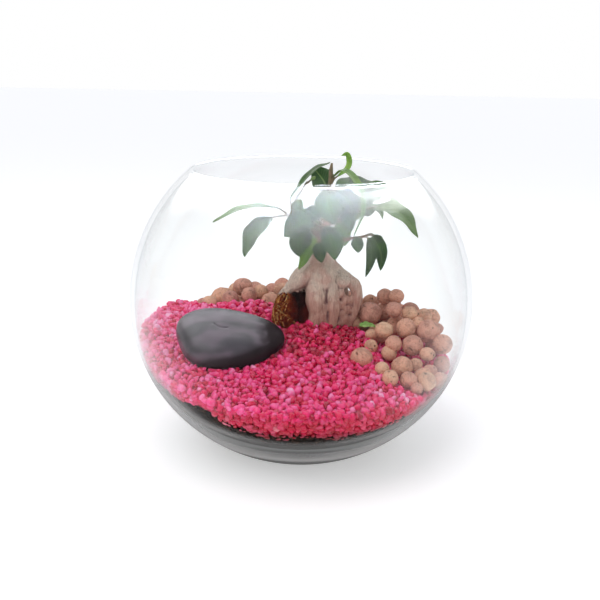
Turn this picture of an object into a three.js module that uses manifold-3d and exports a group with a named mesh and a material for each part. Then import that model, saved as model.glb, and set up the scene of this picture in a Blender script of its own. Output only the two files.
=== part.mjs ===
// A ficus with swollen bare roots, planted in a round glass bowl with a wide open mouth.
// The bowl holds dark soil, a bed of pink gravel that slopes down to the front, a heap of
// baked clay balls at the back and right, loose clay balls at its foot and one black pebble.
//
// Millimetres, +Z up, front at -Y. The origin is the centre of the bowl's flat base.

import * as THREE from "three";
import { mergeVertices } from "three/addons/utils/BufferGeometryUtils.js";
import Module from "manifold-3d";

const wasm = await Module();
wasm.setup();

// ---------------------------------------------------------------- driving dimensions

const GAP = 0.3; // clearance between two pieces that touch

const BOWL = {
  equatorRadius: 125,
  equatorHeight: 110,
  rimHeight: 205,
  baseRadius: 51,
  wall: 3.5,
  floor: 9.5, // thickness of the glass under the soil
  innerPower: 2.3, // how square the inside turns into its thick floor
  segments: 32,
};
const CONTENTS_TOP = 130;

const BED = {
  height: 86, // gravel surface at the foot of the trunk
  frontSlope: 0.22,
  backSlope: 0.04,
  rightSlope: 0.17,
  rightStart: 20,
  grainStep: 7.5, // grains stand up at every other point of a grid with this step
  grainRelief: 1.9,
  grainJitter: 0.5,
  hiddenStep: 26, // where the heap lies on it
  underHeap: 7, // how much lower the gravel lies below the clay heap
  leastDepth: 6,
  underStep: 3,
};

const SOIL = {
  front: 41, // surface at frontEdge, rising to the back
  frontEdge: -97,
  slope: 0.35,
  back: 58,
  leastCover: 12, // gravel over it where the bed is bare
  step: 32,
  relief: 1.2,
};

// The line on the bed where the gravel ends and the clay heap begins, from left to right.
const HEAP_EDGE = [
  [-130, 80], [-97, 56], [-80, 40], [-45, 31], [-20, 40], [5, 26], [30, 18],
  [47, 4], [54, -28], [62, -60], [84, -72], [130, -78],
];
const HEAP = {
  level: 97, // top of the balls before the falls and mounds below
  falls: [
    { axis: "y", from: 10, towards: -1, slope: 0.45 },
    { axis: "y", from: 35, towards: 1, slope: 0.4 },
    { axis: "x", from: 80, towards: 1, slope: 0.3 },
  ],
  mounds: [
    { x: -8, y: 55, rise: 20, spread: 22 },
    { x: -55, y: 52, rise: 16, spread: 20 },
    { x: 68, y: 24, rise: 18, spread: 20 },
  ],
  leastHeight: 6, // over the level of the bed, where the heap is one ball deep
  edgeHeight: 11, // one ball at the edge of the heap
  repose: 0.8, // slope of the heap's face
  coreDepth: 8, // the core lies this far under the tops of the balls
  coreInset: 3, // and rises out of the gravel this far inside the heap's edge
  coreRise: 1.25,
  coreStep: 18,
  wallMargin: 6, // and this far inside the glass
};

const BALL = { spacing: 16, smallest: 12, spread: 5.5, rounds: 60, drop: 0.05, clear: 0.6 };

// Clay balls that stand out on the face of the heap: x, y, diameter.
const FACE_BALLS = [
  [73, 20, 11], [70, 7, 13], [82, 6, 11], [88, 2, 12], [95, -4, 17], [103, 4, 9], [62, -8, 13],
  [78, -7, 15], [53, 17, 17], [68, -20, 13], [82, -20, 15], [92, -27, 11], [105, -12, 14],
  [103, -27, 13], [83, -35, 10], [93, -37, 10], [88, -41, 13], [100, -42, 12],
];

// Loose clay balls, part sunk in the gravel at the foot of the heap: x, y, diameter.
const LOOSE_BALLS = [
  [44, -37, 15], [52, -17, 10], [65, -22, 11], [58, -45, 10], [73, -39, 14],
  [63, -56, 12], [76, -54, 12], [89, -52, 13], [81, -61, 8], [53, 1, 9],
];
const LOOSE_RISE = 0.5; // a loose ball's centre lies this many radii above the gravel

const PEBBLE = {
  centre: [-51, -31, 87],
  halfSize: [40.5, 31, 18.5],
  tiltForward: 20, // degrees, following the slope of the gravel
  tiltRight: 6,
  turn: -12,
  corner: 0.07, // how far the plan departs from an oval to a rounded triangle
};

// Limbs of the trunk: points along each, as x, y, z and the radius there.
const LIMBS = {
  body: [
    [15, 15, 152, 7], [15, 15, 144, 8.7], [15.5, 15, 134, 12.5], [16, 14, 124, 16.5],
    [16, 12, 113, 16], [17.5, 10, 103, 13.5], [18, 8, 93, 11.5], [18, 8, 82, 9], [18, 9, 72, 6],
  ],
  leftArm: [
    [10, 13, 134, 8.5], [1, 12, 125, 9], [-7, 9, 116, 7.5], [-13, 7, 107, 6], [-18, 6, 98, 4.6],
    [-20, 8, 88, 3.6], [-20, 10, 77, 2.4],
  ],
  frontFoot: [
    [12, 6, 116, 7], [10, 2, 104, 6.5], [8, -1, 94, 5], [6.5, -4, 87, 3.6], [5.5, -6, 79, 2.4],
  ],
  frontLobe: [[20, 5, 116, 8], [22, 2, 105, 8], [23, 1, 95, 6.5], [24, 1, 86, 4.5], [25, 1, 78, 2.5]],
  rightArm: [
    [20, 14, 138, 7.5], [29, 14, 131, 8], [37, 13, 125, 7], [41, 12, 118, 5.8], [42, 12, 110, 5],
    [40, 11, 101, 4.6], [37, 9, 92, 4], [35.5, 8, 84, 3.2], [34, 7, 76, 2.2],
  ],
  innerRoot: [[27, 20, 120, 6], [32, 19, 108, 4.5], [32, 17, 96, 4], [30, 15, 84, 3.4], [29, 14, 76, 2.2]],
  backLeft: [[9, 20, 122, 8], [3, 28, 108, 6.5], [-2, 34, 95, 5], [-5, 38, 82, 3.6], [-6, 40, 74, 2.2]],
  backRight: [[22, 21, 122, 8], [28, 29, 108, 6.5], [32, 34, 95, 5], [34, 38, 82, 3.4], [35, 40, 74, 2]],
  shoot: [[15, 15, 148, 6], [16, 14, 155, 4.4], [17, 13, 161, 3.2], [18, 12, 169, 2.5], [19, 12, 176, 2.3]],
};
const STEM_TOP = 176; // where the trunk's shoot ends and the top leaves' stem begins

const ROOTS = {
  clump: { centre: [4, 10, 65], halfSize: [35, 29, 18] },
  mat: { centre: [-7.5, 5, 92.5], halfSize: [19, 17, 17] },
  strandRadius: 0.8,
  strands: [
    [[-21, -5, 99], [-15, -10, 95], [-8, -12, 90], [-2, -12, 82]],
    [[-14, -8, 103], [-10, -11, 98], [-5, -10, 92], [-3, -9, 82]],
    [[-4, -8, 100], [-1, -9, 94], [0, -8, 88], [2, -8, 80]],
  ],
};

const BLADE = { thickness: 0.8, fold: 0.28, segments: 5, petioleRadius: 0.75, tipHalfWidth: 0.5 };

// Each leafy stem: its stems as x, y, z and radius, and its leaves. A leaf's route runs from the
// stem through the blade's base to the tip, and its upper side faces from one way to the other.
const SPRAYS = {
  leaves_left: {
    stems: [
      [[15.5, 13, 153, 2.4], [9, 13, 158, 2], [0, 11, 166, 1.6], [-10, 8, 171, 1.3]],
      [[-9, 8, 170.5, 1.1], [-6, 7, 181, 0.9], [-1, 6, 190, 0.8], [3, 6, 196, 0.8]],
    ],
    leaves: [
      { route: [[-10, 8, 171], [-19, 5, 177], [-32, -2, 180], [-48, -12, 178], [-63, -20, 170]],
        width: 12, faces: [[0, -0.1, 1], [-0.1, -0.15, 1]] },
      { route: [[-10, 8, 171], [-22, 4, 170], [-31, -5, 167], [-38, -11, 157], [-41, -14, 144]],
        width: 17, faces: [[-0.2, -0.6, 0.8], [-0.7, -0.7, 0.3]] },
      { route: [[-8, 7.5, 174], [-6, 6, 183], [1, 3, 196], [9, 4, 206], [19, 8, 210]],
        width: 10, faces: [[-0.7, -0.3, 0.6], [-0.3, -0.4, 0.9]] },
      { route: [[-9, 8, 171], [-7, 6, 174], [-4, 4, 178], [-1, 2, 184]],
        width: 9, faces: [[0, -1, 0.2], [0, -1, 0.2]] },
      { route: [[3, 6, 195], [5, 6, 197], [7, 5, 199], [8, 4, 198]],
        width: 4, faces: [[-0.4, -0.5, 0.8], [-0.4, -0.5, 0.8]] },
    ],
  },
  leaves_top: {
    stems: [
      [[19, 12, STEM_TOP + GAP, 2], [19.3, 12, 188, 1.8], [20, 13, 198, 1.7], [20, 13, 204, 1.5],
        [20.5, 13, 209, 0.7]],
    ],
    leaves: [
      { route: [[19, 12, 186], [18, 15, 189], [14, 21, 196], [7, 26, 204]],
        width: 18, faces: [[-0.3, -0.9, 0.4], [-0.3, -0.9, 0.4]] },
      { route: [[20, 13, 198], [22, 11, 200], [28, 4, 206], [36, -3, 201], [42, -10, 190],
        [42, -12, 175], [37, -11, 160]],
        width: 10, faces: [[-0.1, -0.3, 1], [0.9, -0.5, 0.3]] },
      { route: [[20, 13, 195], [24, 12, 199], [31, 11, 205], [33, 10, 211], [31, 9, 216], [27, 8, 215]],
        width: 5, faces: [[-0.6, -0.5, 0.6], [-0.4, -0.9, -0.2]] },
      { route: [[19.5, 12, 189], [24, 16, 191], [35, 24, 194], [48, 32, 193], [60, 38, 189]],
        width: 17, faces: [[0, -0.35, 0.95], [0.1, -0.35, 0.95]] },
      { route: [[19.5, 12, 188], [19, 6, 189], [18, -3, 185], [20, -8, 177], [23, -9, 168]],
        width: 20, faces: [[0, -0.5, 0.9], [0, -0.95, 0.3]] },
      { route: [[19.5, 12, 190], [24, 7, 190], [30, 1, 188], [35, -4, 182], [38, -6, 174]],
        width: 17, faces: [[0.2, -0.5, 0.9], [0.3, -0.9, 0.4]] },
    ],
  },
  leaves_right: {
    stems: [[[18.5, 12, 164, 1.8], [28, 11, 168, 1.5], [36, 10, 172, 1.2]]],
    leaves: [
      { route: [[36, 10, 172], [41, 9, 181], [50, 6, 189], [60, 2, 191], [69, -3, 184]],
        width: 20, faces: [[0.1, -0.6, 0.8], [0.5, -0.6, 0.6]] },
      { route: [[35, 10, 172], [52, -1, 180], [59, -7, 182], [67, -12, 180], [76, -15, 172], [82, -16, 161]],
        width: 15, faces: [[0.1, -0.6, 0.8], [0.6, -0.7, 0.4]] },
      { route: [[36, 10, 172], [45, 7, 176], [52, 4, 179], [56, 1, 177], [58, 0, 171]],
        width: 6, faces: [[0.1, -0.7, 0.7], [0.4, -0.8, 0.4]] },
      { route: [[34, 10, 171], [40, 13, 173], [48, 16, 175], [54, 18, 175]],
        width: 11, faces: [[0, -0.8, 0.5], [0, -0.8, 0.5]] },
      { route: [[28, 11, 168], [28, 9, 169], [31, 7, 171], [34, 5, 168], [36, 2, 161]],
        width: 12, faces: [[0, -0.8, 0.6], [0.1, -0.95, 0.2]] },
    ],
  },
  leaves_low_right: {
    stems: [
      [[17.5, 12, 154, 2.2], [28, 9, 153, 1.6], [37, 6, 155, 1.3], [45, 4, 157, 1.1], [50, 5, 159, 0.9]],
    ],
    leaves: [
      { route: [[34, 7, 154], [37, 5, 154], [39.5, 2, 151.5], [41, -1, 145]],
        width: 12, faces: [[0, -0.95, 0.3], [0, -1, 0.2]] },
      { route: [[44, 4, 157], [45, 0, 155], [46, -3, 149], [47, -6, 141], [46.5, -6, 129]],
        width: 13, faces: [[-0.3, -0.9, 0.2], [-0.3, -0.9, 0.1]] },
      { route: [[48, 5, 158], [50, 4, 156], [54, 2, 151], [58, 0, 143], [60, 0, 131]],
        width: 15, faces: [[0.1, -0.95, 0.3], [0.1, -0.95, 0.1]] },
      { route: [[50, 5, 159], [53, 8, 157], [58, 9, 151], [63, 9, 142]],
        width: 9, faces: [[0.5, -0.8, 0.4], [0.6, -0.8, 0.2]] },
    ],
  },
  leaves_front: {
    stems: [[[17.5, 12, 160, 2], [15, 7, 162, 1.6], [12, 3, 164, 1.2]]],
    leaves: [
      { route: [[12, 3, 164], [8, -2, 168], [2, -8, 171], [-5, -13, 168], [-13, -17, 160]],
        width: 20, faces: [[-0.1, -0.6, 0.8], [-0.2, -0.85, 0.5]] },
      { route: [[14, 5, 162.5], [12, 4, 169], [8, 4, 173], [2, 4, 177]],
        width: 12, faces: [[0, -0.95, 0.3], [0, -0.95, 0.3]] },
      { route: [[12, 3, 163], [8, 0, 161], [3, -3, 156], [-1, -6, 149], [-3, -7, 141]],
        width: 18, faces: [[-0.2, -0.9, 0.3], [-0.2, -0.95, 0.1]] },
      { route: [[13, 4, 163], [15, -2, 162.5], [18, -8, 158], [21, -12, 151], [24, -14, 142]],
        width: 19, faces: [[0.1, -0.8, 0.6], [0.1, -0.97, 0.2]] },
      { route: [[13, 5, 161], [10, 5, 156], [6, 4, 149], [2, 2, 141], [-2, 0, 132]],
        width: 10, faces: [[-0.5, -0.8, 0.3], [-0.5, -0.8, 0.2]] },
      { route: [[14, 6, 161], [14, 2, 157], [13, -1, 149], [13, -3, 139]],
        width: 11, faces: [[0, -0.95, 0.3], [0.1, -0.95, 0.2]] },
    ],
  },
  leaves_back: {
    stems: [[[17.8, 13, 164, 2], [19, 20, 168, 1.6], [20, 27, 171, 1.2]]],
    leaves: [
      { route: [[20, 27, 171], [15, 35, 173], [6, 44, 169], [0, 50, 159]],
        width: 17, faces: [[-0.3, 0.5, 0.8], [-0.5, 0.7, 0.4]] },
      { route: [[20, 27, 171], [28, 35, 174], [37, 43, 170], [42, 50, 160]],
        width: 17, faces: [[0.3, 0.4, 0.8], [0.5, 0.7, 0.4]] },
      { route: [[20, 27, 171], [20, 38, 177], [21, 50, 176], [21, 61, 167]],
        width: 17, faces: [[0, 0.2, 1], [0, 0.7, 0.7]] },
      { route: [[19, 21, 168], [13, 28, 163], [8, 33, 155], [6, 36, 145]],
        width: 14, faces: [[-0.4, 0.8, 0.4], [-0.4, 0.9, 0.1]] },
      { route: [[19.5, 23, 169], [27, 29, 162], [31, 33, 153], [33, 35, 143]],
        width: 14, faces: [[0.4, 0.8, 0.4], [0.4, 0.9, 0.1]] },
    ],
  },
};
const FALLEN_LEAF = {
  route: [[44, 1, 0], [48, 2, 1.4], [52, 3, 1.8], [57, 3, 0.6]], // heights above the gravel
  width: 6,
  rise: 7.5,
  faces: [[0, -0.5, 0.9], [0, -0.4, 0.9]],
};

// ---------------------------------------------------------------- solids

// A closed solid from a three.js geometry: shared corners merged, empty triangles dropped.
function solidOf(geometry) {
  const bare = new THREE.BufferGeometry();
  bare.setAttribute("position", geometry.getAttribute("position"));
  if (geometry.index) bare.setIndex(geometry.index);
  const merged = mergeVertices(bare, 1e-4);
  const corners = merged.index.array;
  const kept = [];
  for (let i = 0; i < corners.length; i += 3) {
    const [a, b, c] = [corners[i], corners[i + 1], corners[i + 2]];
    if (a !== b && b !== c && c !== a) kept.push(a, b, c);
  }
  return new wasm.Manifold(new wasm.Mesh({
    numProp: 3,
    vertProperties: Float32Array.from(merged.getAttribute("position").array),
    triVerts: Uint32Array.from(kept),
  }));
}

function solidOfFaces(points, faces) {
  const geometry = new THREE.BufferGeometry();
  geometry.setAttribute("position", new THREE.Float32BufferAttribute(points.flat(), 3));
  geometry.setIndex(faces.flat());
  return solidOf(geometry);
}

// The solid's main body. Loose scraps and the walls of sealed hollows are left out.
function mainBody(solid) {
  return solid.decompose().reduce((best, piece) => (piece.volume() > best.volume() ? piece : best));
}

function fuse(solids) {
  return solids.reduce((whole, solid) => whole.add(solid));
}

// A solid of revolution about Z from [radius, z] points that start and end on the axis.
function turned(profile) {
  const points = profile.map(([radius, z]) => new THREE.Vector2(radius, z));
  return solidOf(new THREE.LatheGeometry(points, BOWL.segments).rotateX(Math.PI / 2));
}

// Rings of points along a route joined into one closed skin, with a flat fan at each end.
// The rings turn counter-clockwise about the route. Sides in otherSplit are cut into
// triangles along their other diagonal.
function skinned(rings, otherSplit = []) {
  const sides = rings[0].length;
  const points = rings.flat();
  const faces = [];
  for (let ring = 0; ring < rings.length - 1; ring++) {
    for (let side = 0; side < sides; side++) {
      const next = (side + 1) % sides;
      const [a, b] = [ring * sides + side, ring * sides + next];
      const [c, d] = [b + sides, a + sides];
      if (otherSplit.includes(side)) faces.push([a, b, d], [b, c, d]);
      else faces.push([a, b, c], [a, c, d]);
    }
  }
  const last = (rings.length - 1) * sides;
  for (let side = 1; side < sides - 1; side++) {
    faces.push([0, side + 1, side], [last, last + side, last + side + 1]);
  }
  return solidOfFaces(points, faces);
}

const vector = ([x, y, z]) => new THREE.Vector3(x, y, z);

// The value of a list of numbers at t from 0 to 1 along it.
function along(values, t) {
  const at = Math.min(Math.max(t, 0), 1) * (values.length - 1);
  const from = Math.min(Math.floor(at), values.length - 2);
  return values[from] + (values[from + 1] - values[from]) * (at - from);
}

// A round limb that follows [x, y, z, radius] points. ripple gives the bark's long folds.
function limb(route, { sides = 6, stepsPerPoint = 2, extra = 0, ripple = 0 } = {}) {
  const curve = new THREE.CatmullRomCurve3(route.map(vector));
  const radii = route.map((point) => point[3]);
  const steps = (route.length - 1) * stepsPerPoint;
  const normal = new THREE.Vector3(0, -1, 0);
  const rings = [];
  for (let step = 0; step <= steps; step++) {
    const t = step / steps;
    const centre = curve.getPoint(t);
    const tangent = curve.getTangent(t);
    normal.addScaledVector(tangent, -normal.dot(tangent)).normalize();
    const binormal = new THREE.Vector3().crossVectors(tangent, normal);
    const ring = [];
    for (let side = 0; side < sides; side++) {
      const angle = (2 * Math.PI * side) / sides;
      const fold = 1 + ripple * Math.sin(3 * angle + 5 * t) + 0.6 * ripple * Math.sin(5 * angle - 9 * t);
      const radius = along(radii, t) * fold + extra;
      const point = centre.clone()
        .addScaledVector(normal, radius * Math.cos(angle))
        .addScaledVector(binormal, radius * Math.sin(angle));
      ring.push(point.toArray());
    }
    rings.push(ring);
  }
  return skinned(rings);
}

// A seeded number from 0 to 1 for a grid point, and a seeded row of such numbers.
function gridDraw(i, j, seed) {
  let mixed = Math.imul(i, 374761393) ^ Math.imul(j, 668265263) ^ Math.imul(seed, 1103515245);
  mixed = Math.imul(mixed ^ (mixed >>> 13), 1274126177);
  mixed = Math.imul(mixed ^ (mixed >>> 15), 2146121005);
  return ((mixed ^ (mixed >>> 16)) >>> 0) / 4294967296;
}

function rowOfDraws(seed) {
  let state = seed % 4294967296;
  return () => {
    state = (state * 1664525 + 1013904223) % 4294967296;
    state = (state * 1664525 + 1013904223) % 4294967296;
    return state / 4294967296;
  };
}

// Everything under a surface z = height(x, y, i, j), over a square wider than the bowl.
function blockUnder(height, step, jitter = 0) {
  const half = BOWL.equatorRadius + step;
  const count = Math.ceil((2 * half) / step);
  const points = [];
  const faces = [];
  const layer = (count + 1) * (count + 1);
  for (const top of [true, false]) {
    for (let i = 0; i <= count; i++) {
      for (let j = 0; j <= count; j++) {
        const x = -half + i * step + jitter * step * (gridDraw(i, j, 1) - 0.5);
        const y = -half + j * step + jitter * step * (gridDraw(i, j, 2) - 0.5);
        points.push([x, y, top ? height(x, y, i, j) : -2 * BOWL.floor]);
      }
    }
  }
  const quad = (a, b, c, d) => faces.push([a, b, c], [a, c, d]);
  for (let i = 0; i < count; i++) {
    for (let j = 0; j < count; j++) {
      const a = i * (count + 1) + j;
      quad(a, a + count + 1, a + count + 2, a + 1);
      quad(layer + a, layer + a + 1, layer + a + count + 2, layer + a + count + 1);
    }
    const [left, leftNext] = [i, i + 1];
    const right = count * (count + 1) + i;
    quad(layer + left, left, leftNext, layer + leftNext);
    quad(right, layer + right, layer + right + 1, right + 1);
    const front = i * (count + 1);
    const frontNext = front + count + 1;
    quad(front, layer + front, layer + frontNext, frontNext);
    quad(layer + front + count, front + count, frontNext + count, layer + frontNext + count);
  }
  return solidOfFaces(points, faces);
}

// ---------------------------------------------------------------- glass bowl

const baseSine = Math.sqrt(1 - (BOWL.baseRadius / BOWL.equatorRadius) ** 2);
const outerDrop = BOWL.equatorHeight / baseSine; // half height of the oval below the equator

function innerRadius(z, clear = 0) {
  const radius = BOWL.equatorRadius - BOWL.wall - clear;
  const rise = z - BOWL.equatorHeight;
  if (rise >= 0) return Math.sqrt(Math.max(radius ** 2 - rise ** 2, 0));
  const depth = BOWL.equatorHeight - BOWL.floor - clear;
  const share = Math.min(-rise / depth, 1) ** BOWL.innerPower;
  return radius * (1 - share) ** (1 / BOWL.innerPower);
}

// The inside of the glass as [radius, z] points from the floor up to the height given.
function innerProfile(topHeight, clear, lowerSteps, upperSteps) {
  const depth = BOWL.equatorHeight - BOWL.floor - clear;
  const points = [];
  for (let step = 0; step <= lowerSteps; step++) {
    const angle = (Math.PI / 2) * (1 - step / lowerSteps);
    const z = BOWL.equatorHeight - depth * Math.sin(angle) ** (2 / BOWL.innerPower);
    points.push([step === 0 ? 0 : innerRadius(z, clear), z]);
  }
  for (let step = 1; step <= upperSteps; step++) {
    const z = BOWL.equatorHeight + ((topHeight - BOWL.equatorHeight) * step) / upperSteps;
    points.push([innerRadius(z, clear), z]);
  }
  return points;
}

function glassBowl() {
  const heel = 2;
  const lowerSteps = 6;
  const upperSteps = 5;
  const outer = [[0, 0], [BOWL.baseRadius - heel, 0]];
  const baseAngle = Math.asin(baseSine);
  for (let step = 0; step < lowerSteps; step++) {
    const angle = baseAngle * (0.985 - step / lowerSteps);
    outer.push([
      BOWL.equatorRadius * Math.cos(angle),
      BOWL.equatorHeight - outerDrop * Math.sin(angle),
    ]);
  }
  const rimAngle = Math.asin((BOWL.rimHeight - BOWL.equatorHeight) / BOWL.equatorRadius);
  for (let step = 0; step <= upperSteps; step++) {
    const angle = (rimAngle * step) / upperSteps;
    outer.push([
      BOWL.equatorRadius * Math.cos(angle),
      BOWL.equatorHeight + BOWL.equatorRadius * Math.sin(angle),
    ]);
  }
  const edge = outer[outer.length - 1];
  const rim = [[edge[0] - BOWL.wall * 0.35, edge[1] + BOWL.wall * 0.35], [edge[0] - BOWL.wall, edge[1] + 1]];
  const inner = innerProfile(BOWL.rimHeight - 1, 0, 7, 4).reverse();
  return turned([...outer, ...rim, ...inner]);
}

// The room for the bowl's contents, a clearance inside the glass.
function contentsRoom(clear = GAP) {
  return turned([...innerProfile(CONTENTS_TOP, clear, 7, 1), [0, CONTENTS_TOP]]);
}

// ---------------------------------------------------------------- the bed

function bedHeight(x, y) {
  const fallRight = BED.rightSlope * Math.max(x - BED.rightStart, 0);
  return BED.height + BED.frontSlope * Math.min(y, 0) + BED.backSlope * Math.max(y, 0) - fallRight;
}

// The distance from the heap's edge line, positive on the heap's side of it.
function insideHeap(x, y) {
  let nearest = Infinity;
  let side = 1;
  for (let k = 0; k < HEAP_EDGE.length - 1; k++) {
    const [ax, ay] = HEAP_EDGE[k];
    const [dx, dy] = [HEAP_EDGE[k + 1][0] - ax, HEAP_EDGE[k + 1][1] - ay];
    const share = ((x - ax) * dx + (y - ay) * dy) / (dx * dx + dy * dy);
    const t = Math.min(Math.max(share, 0), 1);
    const distance = Math.hypot(x - ax - t * dx, y - ay - t * dy);
    if (distance < nearest - 1e-9) {
      nearest = distance;
      side = dx * (y - ay) - dy * (x - ax) > 0 ? 1 : -1;
    }
  }
  return side * nearest;
}

function gravelHeight(x, y) {
  const share = Math.min(Math.max(insideHeap(x, y) / 14, 0), 1);
  const level = bedHeight(x, y) - BED.underHeap * share * share * (3 - 2 * share);
  return Math.max(level, soilHeight(x, y) + BED.leastDepth);
}

// How bare the gravel lies: 1 in front of the heap, 0 well under it.
function bareness(x, y) {
  return Math.min(Math.max(1.6 - insideHeap(x, y) / 10, 0), 1);
}

// The bare gravel's surface stands up in grains, and drops away under the heap, where the
// gravel has a smooth surface of its own.
function grainyHeight(x, y, i, j) {
  const bare = bareness(x, y);
  const side = (i + j) % 2 === 0 ? 1 : -1;
  const grain = side * BED.grainRelief * (0.4 + 0.6 * gridDraw(i, j, 3));
  return gravelHeight(x, y) + grain - BED.underStep * (1 - bare);
}

function smoothHeight(x, y) {
  return gravelHeight(x, y) - BED.underStep * bareness(x, y);
}

function soilHeight(x, y) {
  const rise = Math.min(SOIL.front + SOIL.slope * (y - SOIL.frontEdge), SOIL.back);
  return Math.min(rise, bedHeight(x, y) - SOIL.leastCover) + SOIL.relief * Math.sin(0.13 * x + 1) * Math.cos(0.11 * y);
}

// The tops of the clay balls.
function heapHeight(x, y) {
  let top = HEAP.level;
  for (const { axis, from, towards, slope } of HEAP.falls) {
    top -= slope * Math.max(((axis === "x" ? x : y) - from) * towards, 0);
  }
  for (const mound of HEAP.mounds) {
    const square = (x - mound.x) ** 2 + (y - mound.y) ** 2;
    top += mound.rise * Math.exp(-square / (2 * mound.spread ** 2));
  }
  const bed = bedHeight(x, y);
  return Math.min(Math.max(top, bed + HEAP.leastHeight), bed + HEAP.edgeHeight + HEAP.repose * insideHeap(x, y));
}

function coreHeight(x, y) {
  const rise = HEAP.coreRise * (insideHeap(x, y) - HEAP.coreInset);
  return Math.min(heapHeight(x, y) - HEAP.coreDepth, bedHeight(x, y) + rise);
}

const soilBlock = (lift) => blockUnder((x, y) => soilHeight(x, y) + lift, SOIL.step);
function gravelBlock(lift) {
  const grains = blockUnder((x, y, i, j) => grainyHeight(x, y, i, j) + lift, BED.grainStep, BED.grainJitter);
  return grains.add(blockUnder((x, y) => smoothHeight(x, y) + lift, BED.hiddenStep));
}

// ---------------------------------------------------------------- clay balls

function looseBalls() {
  return LOOSE_BALLS.map(([x, y, diameter]) => {
    const r = diameter / 2;
    return { x, y, z: bedHeight(x, y) + LOOSE_RISE * r, r };
  });
}

// Pushes a ball out of a fixed round thing.
function pushOff(ball, fixed) {
  const [dx, dy, dz] = [ball.x - fixed.x, ball.y - fixed.y, ball.z - fixed.z];
  const distance = Math.sqrt(dx * dx + dy * dy + dz * dz);
  const overlap = ball.r + fixed.r - distance;
  if (overlap <= 0) return;
  ball.x += (dx / distance) * overlap;
  ball.y += (dy / distance) * overlap;
  ball.z += (dz / distance) * overlap;
}

// The round things that the heap's balls lie against: the trunk, its roots and loose balls.
function obstacles() {
  const stones = looseBalls();
  for (const name of ["body", "rightArm", "backLeft", "backRight"]) {
    for (const [x, y, z, r] of LIMBS[name]) stones.push({ x, y, z, r: r + 0.8 });
  }
  const [x, y, z] = ROOTS.mat.centre;
  stones.push({ x, y, z, r: Math.max(...ROOTS.mat.halfSize) + 1 });
  return stones;
}

// The heap's balls: first those of its face, then rows of balls laid from the top down,
// which then roll apart and settle between the gravel, the glass and the trunk.
function heapBalls() {
  const draw = rowOfDraws(20);
  const balls = FACE_BALLS.map(([x, y, diameter]) => {
    const r = diameter / 2;
    return { x, y, z: heapHeight(x, y) - r, r, shown: true };
  });
  const faceCount = balls.length;
  const placed = [...balls, ...looseBalls()];
  const rowStep = BALL.spacing * Math.sqrt(3) / 2;
  const rows = Math.ceil(BOWL.equatorRadius / rowStep);
  for (let row = -rows; row <= rows; row++) {
    for (let column = -rows; column <= rows; column++) {
      const r = (BALL.smallest + BALL.spread * draw() ** 1.5) / 2;
      const x = (column + (row % 2 === 0 ? 0 : 0.5)) * BALL.spacing + 2.4 * (draw() - 0.5);
      const y = row * rowStep + 2.4 * (draw() - 0.5);
      const lift = 1.5 * (draw() - 0.5);
      const far = Math.hypot(x, y);
      if (insideHeap(x, y) < 1 || far > innerRadius(90) - r) continue;
      const floor = gravelHeight(x, y);
      const nearGlass = far > innerRadius(90) - 2.6 * r;
      let z = heapHeight(x, y) - r + lift;
      for (let layer = 0; z > floor + 0.4 * r && layer < (nearGlass ? 3 : 2); layer++) {
        const clash = placed.some((other) =>
          Math.hypot(x - other.x, y - other.y, z - other.z) < 0.88 * (r + other.r));
        if (!clash) balls.push({ x, y, z, r, shown: layer === 0 || nearGlass, covered: true });
        z -= 1.9 * r;
      }
    }
  }
  const fixed = obstacles();
  for (let round = 0; round < BALL.rounds; round++) {
    for (let i = 0; i < balls.length; i++) {
      const a = balls[i];
      for (let j = Math.max(i + 1, faceCount); j < balls.length; j++) {
        const b = balls[j];
        const [dx, dy, dz] = [b.x - a.x, b.y - a.y, b.z - a.z];
        const reach = a.r + b.r;
        const square = dx * dx + dy * dy + dz * dz;
        if (square >= reach * reach) continue;
        const distance = Math.sqrt(square);
        const push = (reach - distance) / distance;
        const share = i < faceCount ? 0 : 0.5;
        a.x -= dx * push * share;
        a.y -= dy * push * share;
        a.z -= dz * push * share;
        b.x += dx * push * (1 - share);
        b.y += dy * push * (1 - share);
        b.z += dz * push * (1 - share);
      }
      if (i < faceCount) continue;
      a.z -= BALL.drop;
      for (const thing of fixed) pushOff(a, thing);
      a.z = Math.max(a.z, gravelHeight(a.x, a.y) + 0.85 * a.r);
      const far = Math.sqrt(a.x * a.x + a.y * a.y);
      const limit = innerRadius(a.z - 0.3 * a.r) - a.r - BALL.clear;
      if (far > limit) {
        a.x *= limit / far;
        a.y *= limit / far;
      }
    }
  }
  return balls;
}

function roundBall(ball, extra = 0) {
  const geometry = ball.covered
    ? new THREE.IcosahedronGeometry(ball.r * 0.99 + extra)
    : new THREE.DodecahedronGeometry(ball.r + extra);
  const turn = new THREE.Euler(ball.x, ball.y, ball.z);
  geometry.applyMatrix4(new THREE.Matrix4().makeRotationFromEuler(turn));
  return solidOf(geometry.translate(ball.x, ball.y, ball.z));
}

function clayHeap(trunk, roots) {
  const room = contentsRoom(HEAP.wallMargin);
  const core = room.intersect(blockUnder(coreHeight, HEAP.coreStep));
  const balls = heapBalls().filter((ball) => ball.shown);
  const whole = fuse([core, ...balls.map((ball) => roundBall(ball))]);
  const cutters = [gravelBlock(GAP), trunk, roots];
  for (const ball of looseBalls()) cutters.push(roundBall(ball, GAP));
  return mainBody(cutters.reduce((rest, cutter) => rest.subtract(cutter), whole.intersect(contentsRoom())));
}

// ---------------------------------------------------------------- pebble

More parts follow.
